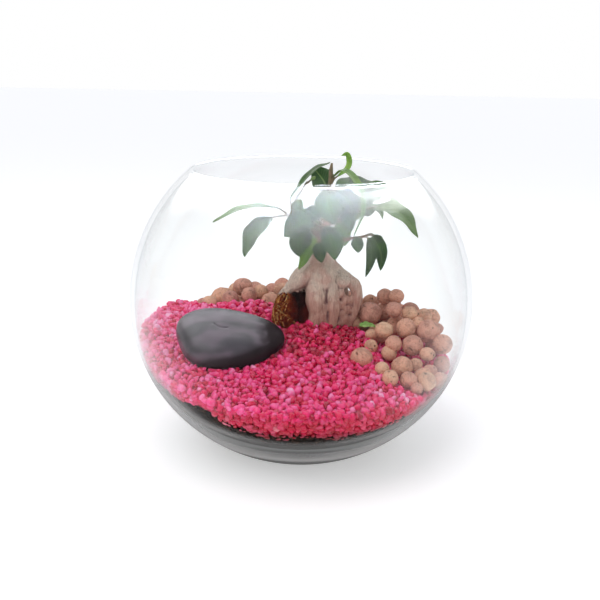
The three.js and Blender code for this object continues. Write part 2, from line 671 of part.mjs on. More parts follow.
function pebble(extra) {
  const geometry = new THREE.SphereGeometry(1, 18, 9).rotateX(Math.PI / 2);
  const place = geometry.getAttribute("position");
  const [long, wide, thick] = PEBBLE.halfSize.map((half) => half + extra);
  for (let k = 0; k < place.count; k++) {
    const point = new THREE.Vector3().fromBufferAttribute(place, k);
    const angle = Math.atan2(point.y, point.x);
    const plan = 1 + PEBBLE.corner * Math.cos(3 * angle + 0.4) * (1 - point.z ** 2);
    place.setXYZ(k, point.x * long * plan, point.y * wide * plan, point.z * thick);
  }
  const radians = THREE.MathUtils.degToRad;
  const turn = new THREE.Euler(
    radians(PEBBLE.tiltForward), radians(PEBBLE.tiltRight), radians(PEBBLE.turn), "XYZ");
  geometry.applyMatrix4(new THREE.Matrix4().makeRotationFromEuler(turn));
  return solidOf(geometry.translate(...PEBBLE.centre));
}

// ---------------------------------------------------------------- trunk and roots

function trunk(extra) {
  return fuse(Object.entries(LIMBS).map(([name, route]) => {
    const sides = name === "body" ? 10 : 6;
    return limb(route, { sides: name === "shoot" ? 8 : sides, extra, ripple: name === "shoot" ? 0 : 0.05 });
  }));
}

function rootLump({ centre, halfSize }, detail, relief, extra) {
  const geometry = new THREE.IcosahedronGeometry(1, detail);
  const place = geometry.getAttribute("position");
  for (let k = 0; k < place.count; k++) {
    const point = new THREE.Vector3().fromBufferAttribute(place, k);
    const angle = Math.atan2(point.y, point.x);
    const cords = 1 + relief * Math.sin(11 * angle + 4 * point.z) * Math.sin(7 * point.z + 2 * angle);
    place.setXYZ(k, ...halfSize.map((half, axis) =>
      centre[axis] + point.getComponent(axis) * (half * cords + extra)));
  }
  return solidOf(geometry);
}

function rootMass(extra) {
  const lumps = [rootLump(ROOTS.clump, 1, 0.02, extra), rootLump(ROOTS.mat, 2, 0.05, extra)];
  const strands = ROOTS.strands.map((points) =>
    limb(points.map((point) => [...point, ROOTS.strandRadius]), { sides: 5, extra }));
  return fuse([...lumps, ...strands]);
}

// ---------------------------------------------------------------- leaves

// A thin arched blade folded along its midrib, from the first point, or behind a stalk that
// runs from the first point to the second.
function blade({ route, width, faces }, stalked) {
  const curve = new THREE.CatmullRomCurve3(route.map(vector));
  const [fromFace, toFace] = faces.map(vector);
  const stalkShare = stalked ? 1 / (route.length - 1) : 0;
  const stalkSteps = stalked ? 1 : 0;
  const rings = [];
  for (let step = -stalkSteps; step <= BLADE.segments; step++) {
    const share = step / BLADE.segments;
    const inStalk = step < 0;
    const t = inStalk
      ? stalkShare * (1 + step / stalkSteps)
      : stalkShare + (1 - stalkShare) * share;
    const centre = curve.getPoint(t);
    const tangent = curve.getTangent(t);
    const face = fromFace.clone().lerp(toFace, t).normalize();
    const side = new THREE.Vector3().crossVectors(face, tangent).normalize();
    const normal = new THREE.Vector3().crossVectors(tangent, side);
    const spread = inStalk ? 0 : (width / 2) * Math.sin(Math.PI * share ** 0.85) ** 0.75;
    const slim = inStalk || (stalked && step === 0) ? BLADE.petioleRadius : BLADE.tipHalfWidth;
    const half = Math.max(spread, slim);
    const up = inStalk ? BLADE.petioleRadius : BLADE.thickness / 2;
    const at = (across, height) => centre.clone()
      .addScaledVector(side, across * half)
      .addScaledVector(normal, height * up + (Math.abs(across) - 1) * BLADE.fold * spread)
      .toArray();
    rings.push([at(1, -1), at(1, 1), at(0, 1), at(-1, 1), at(-1, -1), at(0, -1)]);
  }
  return skinned(rings, [4, 5]);
}

function spray({ stems, leaves }, trunkRoom) {
  const solids = [
    ...stems.map((route) => limb(route, { sides: 5, stepsPerPoint: 1 })),
    ...leaves.map((leaf) => blade(leaf, true)),
  ];
  return mainBody(fuse(solids).subtract(trunkRoom));
}

function fallenLeaf() {
  const route = FALLEN_LEAF.route.map(([x, y, up]) => [x, y, bedHeight(x, y) + FALLEN_LEAF.rise + up]);
  return blade({ ...FALLEN_LEAF, route }, false);
}

// ---------------------------------------------------------------- the whole object

const FINISHES = {
  glass: { color: 0xeef4f4, roughness: 0.03, metalness: 0, transparent: true, opacity: 0.25 },
  soil: { color: 0x33231b, roughness: 0.95, metalness: 0 },
  gravel: { color: 0xd4466f, roughness: 0.55, metalness: 0 },
  pebble: { color: 0x2a2529, roughness: 0.18, metalness: 0 },
  roots: { color: 0x5a2413, roughness: 0.9, metalness: 0 },
  bark: { color: 0xa28b78, roughness: 0.75, metalness: 0 },
  leaf: { color: 0x3f6b2c, roughness: 0.4, metalness: 0 },
  clay: { color: 0xa8673f, roughness: 0.85, metalness: 0 },
};

const terrarium = new THREE.Group();

function addPiece(name, solid, finish) {
  const { vertProperties, triVerts } = mainBody(solid).getMesh();
  const geometry = new THREE.BufferGeometry();
  geometry.setAttribute("position", new THREE.Float32BufferAttribute(vertProperties, 3));
  geometry.setIndex(Array.from(triVerts));
  geometry.computeVertexNormals();
  const mesh = new THREE.Mesh(geometry, new THREE.MeshStandardMaterial(FINISHES[finish]));
  mesh.name = name;
  terrarium.add(mesh);
}

const trunkRoom = trunk(GAP);
const rootRoom = rootMass(GAP);
const ballRooms = looseBalls().map((ball) => roundBall(ball, GAP));

addPiece("glass_bowl", glassBowl(), "glass");
addPiece("soil", contentsRoom().intersect(soilBlock(0)).subtract(rootRoom).subtract(trunkRoom), "soil");

const bed = contentsRoom().intersect(gravelBlock(0)).subtract(soilBlock(GAP));
const sunkThings = [trunkRoom, rootRoom, pebble(GAP), ...ballRooms];
addPiece("pink_gravel", sunkThings.reduce((rest, thing) => rest.subtract(thing), bed), "gravel");

addPiece("black_pebble", pebble(0), "pebble");
addPiece("root_ball", rootMass(0).subtract(trunkRoom), "roots");
addPiece("ficus_trunk", trunk(0), "bark");
for (const [name, parts] of Object.entries(SPRAYS)) addPiece(name, spray(parts, trunkRoom), "leaf");
addPiece("fallen_leaf", fallenLeaf(), "leaf");
addPiece("clay_heap", clayHeap(trunkRoom, rootRoom), "clay");
looseBalls().forEach((ball, index) => {
  addPiece(`clay_ball_${String(index + 1).padStart(2, "0")}`, roundBall(ball), "clay");
});

export default terrarium;
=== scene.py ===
# The looks of a ficus planted in a round glass bowl, with dark soil, pink gravel, clay balls
# and a black pebble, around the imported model.
import math

import bmesh
import bpy
import numpy as np
from mathutils import Euler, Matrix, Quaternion, Vector


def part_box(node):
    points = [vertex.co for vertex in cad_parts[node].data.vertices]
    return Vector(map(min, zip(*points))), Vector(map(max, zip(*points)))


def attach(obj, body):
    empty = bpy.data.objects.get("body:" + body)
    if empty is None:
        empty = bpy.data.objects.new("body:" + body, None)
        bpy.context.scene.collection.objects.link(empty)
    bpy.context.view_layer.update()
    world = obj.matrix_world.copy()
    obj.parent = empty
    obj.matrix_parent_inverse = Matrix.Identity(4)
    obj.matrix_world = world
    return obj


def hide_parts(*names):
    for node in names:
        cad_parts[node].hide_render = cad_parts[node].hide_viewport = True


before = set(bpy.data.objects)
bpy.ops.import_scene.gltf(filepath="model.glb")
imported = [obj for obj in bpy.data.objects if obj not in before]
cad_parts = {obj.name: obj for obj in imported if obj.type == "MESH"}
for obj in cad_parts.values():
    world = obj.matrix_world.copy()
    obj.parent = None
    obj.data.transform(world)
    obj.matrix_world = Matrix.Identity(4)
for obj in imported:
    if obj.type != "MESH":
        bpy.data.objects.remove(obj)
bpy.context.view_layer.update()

MM = 0.001  # shapes are worked out in millimetres, and meshes hold metres

# ---------------------------------------------------------------- driving dimensions

bowl_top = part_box("glass_bowl")[1] / MM
EQUATOR_RADIUS = bowl_top.x
EQUATOR_HEIGHT = 110
RIM_HEIGHT = 205
BASE_RADIUS = 51
WALL = 3.5
FLOOR = 9.5  # thickness of the glass under the soil
INNER_POWER = 2.3  # how square the inside turns into its thick floor
GAP = 0.3  # between the glass and what lies against it
SHOWN_FLOOR, SHOWN_POWER = 7.6, 2.35  # the foot as blown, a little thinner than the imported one

BED_HEIGHT = 86  # gravel surface at the foot of the trunk
BED_SLOPES = {"front": 0.22, "back": 0.04, "right": 0.17}
RIGHT_START = 20
UNDER_HEAP = 7  # how much lower the gravel lies below the clay heap
LEAST_DEPTH = 6

SOIL = {"front": 41, "front_edge": -97, "slope": 0.35, "back": 58, "least_cover": 12, "relief": 1.2}
SOIL_BANKS = [(-70, -86, 12, 28), (86, -72, 8, 16), (0, -108, 6, 14)]  # x, y, rise, spread

# The line on the bed where the gravel ends and the clay heap begins, from left to right.
HEAP_EDGE = [
    (-130, 80), (-97, 56), (-80, 40), (-45, 31), (-20, 40), (5, 26), (30, 18),
    (47, 4), (54, -28), (62, -60), (84, -72), (130, -78),
]
HEAP_LEVEL = 97
HEAP_FALLS = [("y", 10, -1, 0.45), ("y", 35, 1, 0.4), ("x", 80, 1, 0.3)]
HEAP_MOUNDS = [(-8, 55, 20, 22), (-55, 52, 16, 20), (68, 24, 18, 20)]  # x, y, rise, spread
HEAP_LEAST, HEAP_EDGE_HEIGHT, HEAP_REPOSE = 6, 11, 0.8

BALL = {"spacing": 16, "smallest": 12, "spread": 5.5, "rounds": 60, "drop": 0.05, "clear": 0.6}

# Clay balls that stand out on the face of the heap: x, y, diameter and how far each has been
# pushed up since the heap settled. Then loose ones in the gravel at its foot: x, y, diameter.
FACE_BALLS = [
    (73, 20, 11, 0), (70, 7, 13, 0), (82, 6, 11, 0), (88, 2, 12, 0), (95, -4, 17, 7), (103, 4, 9, 2),
    (62, -8, 13, 2), (78, -7, 15, 4), (53, 17, 17, 0), (68, -20, 13, 4), (82, -20, 15, 5),
    (92, -27, 11, 6), (105, -12, 14, 7), (103, -27, 13, 3), (83, -35, 10, 1), (93, -37, 10, 1),
    (88, -41, 13, 0), (100, -42, 12, 0),
]
LOOSE_BALLS = [
    (44, -37, 15), (52, -17, 10), (65, -22, 11), (58, -45, 10), (73, -39, 14),
    (63, -56, 12), (76, -54, 12), (89, -52, 13), (81, -61, 8), (53, 1, 9),
]
LOOSE_RISE = 0.5

PEBBLE = {
    "centre": (-51.9, -33, 88.1), "half": (38.2, 27, 13.6), "corner": 0.09, "corner_turn": -0.8,
    "tilt_forward": 27, "tilt_right": 5, "turn": 2, "square": 2.4, "taper": 0.17,
}
CREASE = {  # a short bowed crease in the pebble's top
    "from": (-9.5, 0.5), "to": (-1, -2), "bow": 1.4, "half_width": 0.8, "fade": 1.2, "depth": 0.55,
}

# Limbs of the trunk: points along each, as x, y, z and the radius there. The heap's balls lie
# against these, and the ones at the back and the shoot are also shown as they are.
LIMBS = {
    "body": [
        (15, 15, 152, 7), (15, 15, 144, 8.7), (15.5, 15, 134, 12.5), (16, 14, 124, 16.5),
        (16, 12, 113, 16), (17.5, 10, 103, 13.5), (18, 8, 93, 11.5), (18, 8, 82, 9), (18, 9, 72, 6),
    ],
    "right_arm": [
        (20, 14, 138, 7.5), (29, 14, 131, 8), (37, 13, 125, 7), (41, 12, 118, 5.8), (42, 12, 110, 5),
        (40, 11, 101, 4.6), (37, 9, 92, 4), (35.5, 8, 84, 3.2), (34, 7, 76, 2.2),
    ],
    "inner_root": [
        (27, 20, 120, 6), (32, 19, 108, 4.5), (32, 17, 96, 4), (30, 15, 84, 3.4), (29, 14, 76, 2.2),
    ],
    "back_left": [
        (9, 20, 122, 8), (3, 28, 108, 6.5), (-2, 34, 95, 5), (-5, 38, 82, 3.6), (-6, 40, 74, 2.2),
    ],
    "back_right": [
        (22, 21, 122, 8), (28, 29, 108, 6.5), (32, 34, 95, 5), (34, 38, 82, 3.4), (35, 40, 74, 2),
    ],
    "shoot": [
        (15, 15, 148, 6), (16, 14, 155, 4.4), (17, 13, 161, 3.2), (18, 12, 169, 2.5), (19, 12, 176, 2.3),
    ],
}
STEM_TOP = 176.3

# The limbs that show from the front, as they look once the wood has been worked finer: slimmer
# arms, a flat front that splits into two lobes, and the boss of a lost branch.
SHOWN_LIMBS = {
    "body": [
        (15, 15, 152, 6.6), (14.8, 15, 144, 8.2), (14.6, 15, 135, 10.8), (15.5, 14, 125, 14.8),
        (16, 15, 114, 12.6), (17.5, 14, 104, 11), (18, 12, 93, 10), (18, 9, 82, 8), (18, 9, 72, 6),
    ],
    "left_arm": [
        (9, 12, 128, 8.5), (1, 11, 123.3, 8.4), (-5, 9.5, 118.8, 5.8), (-9.6, 8, 114.6, 3.8),
        (-14.3, 7, 109.6, 3), (-17, 6.5, 102, 2.4), (-18.5, 7, 93, 2.2), (-19, 8, 82, 2),
    ],
    "front_foot": [
        (12, 12, 128, 4), (10.8, 6, 118, 7.4), (10.8, 2, 108, 7.6), (11.9, 0, 99, 6), (11, -2, 93.5, 5.2),
        (8.9, -4, 88, 3.4), (8.2, -5.5, 80, 2.2),
    ],
    "front_lobe": [
        (20, 12, 128, 4), (21.5, 7, 118, 6.4), (23.4, 2, 108, 5), (23.8, 1, 99, 5), (23.2, 0, 92, 4.6),
        (23.5, 0, 84, 3), (24, 1, 77, 1.8),
    ],
    "right_arm": [
        (19, 14, 131, 7.5), (26.5, 14, 126.3, 6), (34, 13.5, 122, 5.2), (39.6, 13, 117.4, 4.9),
        (42.2, 12.5, 110.6, 4.3), (41.7, 11.5, 102.5, 3.9), (39.7, 10, 94.5, 3.4), (37, 9, 87, 2.7),
        (35, 8, 78, 2),
    ],
    **{name: LIMBS[name] for name in ("inner_root", "back_left", "back_right", "shoot")},
    "front_plate": [
        (15, 10, 124, 5), (16, 5, 112, 5.6), (17, 2.5, 101, 5.4), (17, 0.5, 92, 4.2), (17, 0, 84, 2.5),
    ],
    "side_lobe": [
        (26, 12, 118, 4.6), (28, 11, 108, 4.8), (29, 10, 98, 4.6), (29.5, 8, 90, 3.6), (30, 7, 82, 2.4),
    ],
    "boss": [(26, 9, 124, 3.6), (30.5, 6.5, 122.2, 4.6), (34.5, 7.5, 120, 3.8)],
}
# Lumps of root between the front lobe and the right arm: x, y, z, radius.
ROOT_KNOBS = [
    (29.5, 7, 113, 3.3), (32.6, 8.5, 107.5, 3.6), (29.6, 6, 104, 3.2), (33, 8, 100.5, 3.6),
    (29.5, 5, 97, 3.3), (32.6, 6.5, 93.5, 3.8), (29, 4, 90.5, 3.4), (34.5, 8, 88, 3),
    (36.6, 10, 106.5, 3.2), (37, 9.5, 99.5, 3.5), (36, 9, 92.5, 3.2),
]
FRONT_SLITS = [  # creases in the front of the trunk: x, from z, to z, half width and depth
    (19.2, 108, 116, 1.3, 1.1), (20.4, 93, 100, 1.4, 0.9),
]

ROOT_CLUMP = {"centre": (4, 10, 65), "half": (35, 29, 18)}
ROOT_MAT = {"centre": (-7.5, 5, 92.5), "half": (19, 17, 17)}
# The mat shows as tufts: a golden one on the left, a dark hollow, and a red one by the leg.
# The hollow's tuft is near black and the others darken towards it, all painted shade under the trunk.
ROOT_TUFTS = [
    {"centre": (-11.5, 4.5, 94), "half": (9.4, 9.5, 19), "fibres": 560, "tones": (1.0, 0.15)},
    {"centre": (-2, 14, 96), "half": (12, 9, 17), "fibres": 120, "tones": (0.16, 0.02)},
    {"centre": (3.2, 4, 91), "half": (5.4, 6, 13.5), "fibres": 150, "tones": (0.1, 0.5)},
]
STRAW_STRANDS = [
    [(-18.5, -6, 104), (-12, -8, 99.8), (-6, -9, 95.6), (0.5, -9, 91)],
    [(-20.5, -3, 103), (-20, -6, 98), (-18.5, -7, 93), (-16, -7, 85)],
]

# Each leafy stem: its stems as x, y, z and radius, and its leaves. A leaf's route runs from the
# stem through the blade's base to the tip, and its upper side faces from one way to the other.
# young is how fresh a green it has, from 0 to 1.
SPRAYS = {
    "leaves_left": {
        "stems": [
            [(15.5, 13, 153, 2.4), (9, 13, 158, 2), (0, 11, 166, 1.6), (-10, 8, 171, 1.3)],
            [(-9, 8, 170.5, 1.1), (-6, 7, 181, 0.9), (-1, 6, 190, 0.8), (3, 6, 196, 0.8)],
        ],
        "leaves": [
            {"route": [(-10, 8, 171), (-19, 5, 177), (-32, -2, 180), (-48, -12, 178), (-63, -20, 170)],
             "width": 10, "faces": [(0, -0.1, 1), (-0.1, -0.15, 1)], "young": 0.3},
            {"route": [(-10, 8, 171), (-22, 4, 170), (-31, -5, 167), (-38, -11, 157), (-41, -14, 144)],
             "width": 17, "faces": [(-0.2, -0.6, 0.8), (-0.7, -0.7, 0.3)], "young": 0},
            {"route": [(-8, 7.5, 174), (-9, 6, 183), (-2, 3, 195.5), (8, 4, 206), (19, 8, 210)],
             "width": 7, "faces": [(-0.7, -0.3, 0.6), (-0.3, -0.4, 0.9)], "young": 0.05},
            {"route": [(-9, 8, 171), (-7, 6, 174), (-4, 4, 178), (-1, 2, 184)],
             "width": 9, "faces": [(0, -1, 0.2), (0, -1, 0.2)], "young": 0.2},
            {"route": [(3, 6, 195), (5, 6, 197), (7, 5, 199), (8, 4, 198)],
             "width": 4, "faces": [(-0.4, -0.5, 0.8), (-0.4, -0.5, 0.8)], "young": 0.8},
        ],
    },
    "leaves_top": {
        "stems": [
            [(19, 12, STEM_TOP, 2), (19.3, 12, 188, 1.8), (20, 13, 198, 1.7), (20, 13, 204, 1.5),
             (20.5, 13, 209, 0.7)],
        ],
        "leaves": [
            {"route": [(19, 12, 186), (18, 15, 189), (14, 21, 196), (7, 26, 204)],
             "width": 18, "faces": [(-0.3, -0.9, 0.4), (-0.3, -0.9, 0.4)], "young": 0},
            {"route": [(20, 13, 198), (22, 11, 200), (28, 4, 206), (36, -3, 201), (42, -10, 190),
                       (42, -12, 175), (37, -11, 160)],
             "width": 8, "faces": [(-0.1, -0.3, 1), (0.9, -0.5, 0.3)], "young": 0.4},
            {"route": [(20, 13, 195), (24, 12, 199), (31, 11, 205), (33, 10, 211), (31, 9, 216),
                       (27, 8, 215)],
             "width": 5, "faces": [(-0.6, -0.5, 0.6), (-0.4, -0.9, -0.2)], "young": 1},
            {"route": [(19.5, 12, 189), (24, 16, 191), (35, 24, 194), (48, 32, 193), (60, 38, 189)],
             "width": 17, "faces": [(0, -0.35, 0.95), (0.1, -0.35, 0.95)], "young": 0},
            {"route": [(19.5, 12, 188), (19, 6, 189), (18, -3, 185), (20, -8, 177), (23, -9, 168)],
             "width": 20, "faces": [(0, -0.5, 0.9), (0, -0.95, 0.3)], "young": 0.1},
            {"route": [(19.5, 12, 190), (24, 7, 190), (30, 1, 188), (35, -4, 182), (38, -6, 174)],
             "width": 17, "faces": [(0.2, -0.5, 0.9), (0.3, -0.9, 0.4)], "young": 0},
        ],
    },
    "leaves_right": {
        "stems": [[(18.5, 12, 164, 1.8), (28, 11, 168, 1.5), (36, 10, 172, 1.2)]],
        "leaves": [
            {"route": [(36, 10, 172), (41, 9, 181), (50, 6, 189), (60, 2, 191), (69, -3, 184)],
             "width": 20, "faces": [(0.1, -0.6, 0.8), (0.5, -0.6, 0.6)], "young": 0.1},
            {"route": [(35, 10, 172), (52, -1, 180), (59, -7, 182), (67, -12, 180), (76, -15, 172),
                       (82, -16, 161)],
             "width": 15, "faces": [(0.1, -0.6, 0.8), (0.6, -0.7, 0.4)], "young": 0.25},
            {"route": [(36, 10, 172), (45, 7, 176), (52, 4, 179), (56, 1, 177), (58, 0, 171)],
             "width": 6, "faces": [(0.1, -0.7, 0.7), (0.4, -0.8, 0.4)], "young": 0.3},
            {"route": [(34, 10, 171), (40, 13, 173), (48, 16, 175), (54, 18, 175)],
             "width": 11, "faces": [(0, -0.8, 0.5), (0, -0.8, 0.5)], "young": 0.1},
            {"route": [(28, 11, 168), (28, 9, 169), (31, 7, 171), (34, 5, 168), (36, 2, 161)],
             "width": 12, "faces": [(0, -0.8, 0.6), (0.1, -0.95, 0.2)], "young": 0},
        ],
    },
    "leaves_low_right": {
        "stems": [
            [(17.5, 12, 154, 2.2), (28, 9, 153, 1.6), (37, 6, 155, 1.3), (45, 4, 157, 1.1),
             (50, 5, 159, 0.9)],
        ],
        "leaves": [
            {"route": [(34, 7, 154), (38, 4, 156), (40.5, 2, 151.5), (41.2, 0, 145.5)],
             "width": 9.5, "faces": [(0, -0.95, 0.3), (0, -1, 0.2)], "young": 0},
            {"route": [(44, 4, 157), (47.5, -1, 157), (50.3, -4, 151), (50.2, -5, 142), (46.9, -6, 129)],
             "width": 8.5, "faces": [(-0.3, -0.9, 0.2), (-0.3, -0.9, 0.1)], "young": 0},
            {"route": [(48, 5, 158), (51, 4, 158), (55.5, 2, 152), (58.3, 1, 144), (58, 0, 132.5)],
             "width": 10.5, "faces": [(0.1, -0.95, 0.3), (0.1, -0.95, 0.1)], "young": 0},
            {"route": [(50, 5, 159), (53, 8, 157), (58, 9, 151), (63, 9, 142)],
             "width": 9, "faces": [(0.5, -0.8, 0.4), (0.6, -0.8, 0.2)], "young": 0.1},
        ],
    },
    "leaves_front": {
        "stems": [[(17.5, 12, 160, 2), (15, 7, 162, 1.6), (12, 3, 164, 1.2)]],
        "leaves": [
            {"route": [(12, 3, 164), (8, -2, 168), (2, -8, 171), (-5, -13, 168), (-13, -17, 160)],
             "width": 20, "faces": [(-0.1, -0.6, 0.8), (-0.2, -0.85, 0.5)], "young": 0},
            {"route": [(14, 5, 162.5), (12, 4, 169), (8, 4, 173), (2, 4, 177)],
             "width": 12, "faces": [(0, -0.95, 0.3), (0, -0.95, 0.3)], "young": 0},
            {"route": [(12, 3, 163), (6, -1, 163), (0.5, -4, 158.5), (-2.4, -6, 151), (-1.6, -7, 143.5)],
             "width": 16.5, "faces": [(-0.2, -0.9, 0.3), (-0.2, -0.95, 0.1)], "young": 0},
            {"route": [(13, 4, 163), (16, -3, 165), (20, -9, 160.5), (22.9, -12, 152), (23.9, -13, 143)],
             "width": 15.5, "faces": [(0.1, -0.8, 0.6), (0.1, -0.97, 0.2)], "young": 0},
            {"route": [(13, 5, 161), (10, 5, 156), (6, 4, 149), (2, 2, 141), (-2, 0, 132)],
             "width": 10, "faces": [(-0.5, -0.8, 0.3), (-0.5, -0.8, 0.2)], "young": 0.45},
            {"route": [(14, 6, 161), (13, 2, 153), (13, -2, 146.5), (14.5, -4, 138.5)],
             "width": 10.5, "faces": [(0, -0.95, 0.3), (0.1, -0.95, 0.2)], "young": 0},
        ],
    },
    "leaves_back": {
        "stems": [[(17.8, 13, 164, 2), (19, 20, 168, 1.6), (20, 27, 171, 1.2)]],
        "leaves": [
            {"route": [(20, 27, 171), (15, 35, 173), (6, 44, 169), (0, 50, 159)],
             "width": 17, "faces": [(-0.3, 0.5, 0.8), (-0.5, 0.7, 0.4)], "young": 0},
            {"route": [(20, 27, 171), (28, 35, 174), (37, 43, 170), (42, 50, 160)],
             "width": 17, "faces": [(0.3, 0.4, 0.8), (0.5, 0.7, 0.4)], "young": 0.1},
            {"route": [(20, 27, 171), (20, 38, 177), (21, 50, 176), (21, 61, 167)],
             "width": 17, "faces": [(0, 0.2, 1), (0, 0.7, 0.7)], "young": 0.2},
            {"route": [(19, 21, 168), (13, 28, 163), (8, 33, 155), (6, 36, 145)],
             "width": 14, "faces": [(-0.4, 0.8, 0.4), (-0.4, 0.9, 0.1)], "young": 0},
            {"route": [(19.5, 23, 169), (27, 29, 162), (31, 33, 153), (33, 35, 143)],
             "width": 14, "faces": [(0.4, 0.8, 0.4), (0.4, 0.9, 0.1)], "young": 0},
        ],
    },
}
FALLEN_LEAF = {
    "route": [(44, 1, 0), (48, 2, 1.4), (52, 3, 1.8), (57, 3, 0.6)],  # heights above the gravel
    "width": 6, "rise": 7.5, "faces": [(0, -0.5, 0.9), (0, -0.4, 0.9)], "young": 0.9,
}
BLADE = {"thickness": 0.7, "fold": 0.28, "petiole": 0.75}

# ---------------------------------------------------------------- shapes of the planting


def inner_radius(z, clear=0.0, floor=FLOOR, power=INNER_POWER):
    """Radius of the inside of the glass at a height, less a clearance."""
    z = np.asarray(z, float)
    radius = EQUATOR_RADIUS - WALL - clear
    above = np.sqrt(np.maximum(radius**2 - (z - EQUATOR_HEIGHT) ** 2, 0))
    share = np.clip((EQUATOR_HEIGHT - z) / (EQUATOR_HEIGHT - floor - clear), 0, 1)
    below = radius * (1 - share**power) ** (1 / power)
    return np.where(z >= EQUATOR_HEIGHT, above, below)


def shown_radius(z, clear=0.0):
    return inner_radius(z, clear, SHOWN_FLOOR, SHOWN_POWER)


def mound(x, y, middle_x, middle_y, rise, spread):
    """Height that a round mound adds at a place."""
    square = (x - middle_x) ** 2 + (y - middle_y) ** 2
    return rise * np.exp(-square / (2 * spread**2))


def bed_height(x, y):
    fall_right = BED_SLOPES["right"] * np.maximum(x - RIGHT_START, 0)
    rise = BED_SLOPES["front"] * np.minimum(y, 0) + BED_SLOPES["back"] * np.maximum(y, 0)
    return BED_HEIGHT + rise - fall_right


def inside_heap(x, y):
    """Distance from the heap's edge line, positive on the heap's side of it."""
    x, y = np.asarray(x, float), np.asarray(y, float)
    nearest = np.full(np.broadcast(x, y).shape, np.inf)
    side = np.ones_like(nearest)
    for (ax, ay), (bx, by) in zip(HEAP_EDGE, HEAP_EDGE[1:]):
        dx, dy = bx - ax, by - ay
        t = np.clip(((x - ax) * dx + (y - ay) * dy) / (dx * dx + dy * dy), 0, 1)
        distance = np.hypot(x - ax - t * dx, y - ay - t * dy)
        closer = distance < nearest - 1e-9
        side = np.where(closer, np.where(dx * (y - ay) - dy * (x - ax) > 0, 1, -1), side)
        nearest = np.where(closer, distance, nearest)
    return side * nearest


def soil_height(x, y):
    rise = np.minimum(SOIL["front"] + SOIL["slope"] * (y - SOIL["front_edge"]), SOIL["back"])
    waves = SOIL["relief"] * np.sin(0.13 * x + 1) * np.cos(0.11 * y)
    for bank in SOIL_BANKS:
        rise = rise + mound(x, y, *bank)
    return np.minimum(rise, bed_height(x, y) - SOIL["least_cover"]) + waves


def gravel_height(x, y):
    share = np.clip(inside_heap(x, y) / 14, 0, 1)
    level = bed_height(x, y) - UNDER_HEAP * share * share * (3 - 2 * share)
    return np.maximum(level, soil_height(x, y) + LEAST_DEPTH)


def heap_height(x, y):
    """Tops of the clay balls."""
    top = HEAP_LEVEL
    for axis, start, towards, slope in HEAP_FALLS:
        top = top - slope * np.maximum(((x if axis == "x" else y) - start) * towards, 0)
    for heap_mound in HEAP_MOUNDS:
        top = top + mound(x, y, *heap_mound)
    bed = bed_height(x, y)
    edge = bed + HEAP_EDGE_HEIGHT + HEAP_REPOSE * inside_heap(x, y)
    return np.minimum(np.maximum(top, bed + HEAP_LEAST), edge)


def loose_balls():
    return [
        {"x": x, "y": y, "z": float(bed_height(x, y)) + LOOSE_RISE * diameter / 2, "r": diameter / 2}
        for x, y, diameter in LOOSE_BALLS
    ]


def row_of_draws(seed):
    """A seeded row of numbers from 0 to 1."""
    state = seed
    while True:
        state = (state * 1664525 + 1013904223) % 4294967296
        state = (state * 1664525 + 1013904223) % 4294967296
        yield state / 4294967296


def heap_balls():
    """The heap's balls: those of its face, then rows of balls that roll apart and settle
    between the gravel, the glass and the trunk."""
    row_draws = row_of_draws(20)
    draw = lambda: next(row_draws)
    balls = []
    for x, y, diameter, _ in FACE_BALLS:
        r = diameter / 2
        balls.append({"x": x, "y": y, "z": float(heap_height(x, y)) - r, "r": r, "face": True})
    face_count = len(balls)
    placed = [*balls, *loose_balls()]
    reach = float(inner_radius(90))
    row_step = BALL["spacing"] * math.sqrt(3) / 2
    rows = math.ceil(EQUATOR_RADIUS / row_step)
    for row in range(-rows, rows + 1):
        for column in range(-rows, rows + 1):
            r = (BALL["smallest"] + BALL["spread"] * draw() ** 1.5) / 2
            x = (column + (0 if row % 2 == 0 else 0.5)) * BALL["spacing"] + 2.4 * (draw() - 0.5)
            y = row * row_step + 2.4 * (draw() - 0.5)
            lift = 1.5 * (draw() - 0.5)
            far = math.hypot(x, y)
            if inside_heap(x, y) < 1 or far > reach - r:
                continue
            floor = float(gravel_height(x, y))
            z = float(heap_height(x, y)) - r + lift
            layer = 0
            while z > floor + 0.4 * r and layer < (3 if far > reach - 2.6 * r else 2):
                clash = any(
                    math.dist((x, y, z), (b["x"], b["y"], b["z"])) < 0.88 * (r + b["r"]) for b in placed)
                if not clash:
                    balls.append({"x": x, "y": y, "z": z, "r": r, "face": False})
                z -= 1.9 * r
                layer += 1
    settle(balls, face_count)
    for ball, (_, _, _, lift) in zip(balls, FACE_BALLS):
        ball["z"] += lift
    return balls


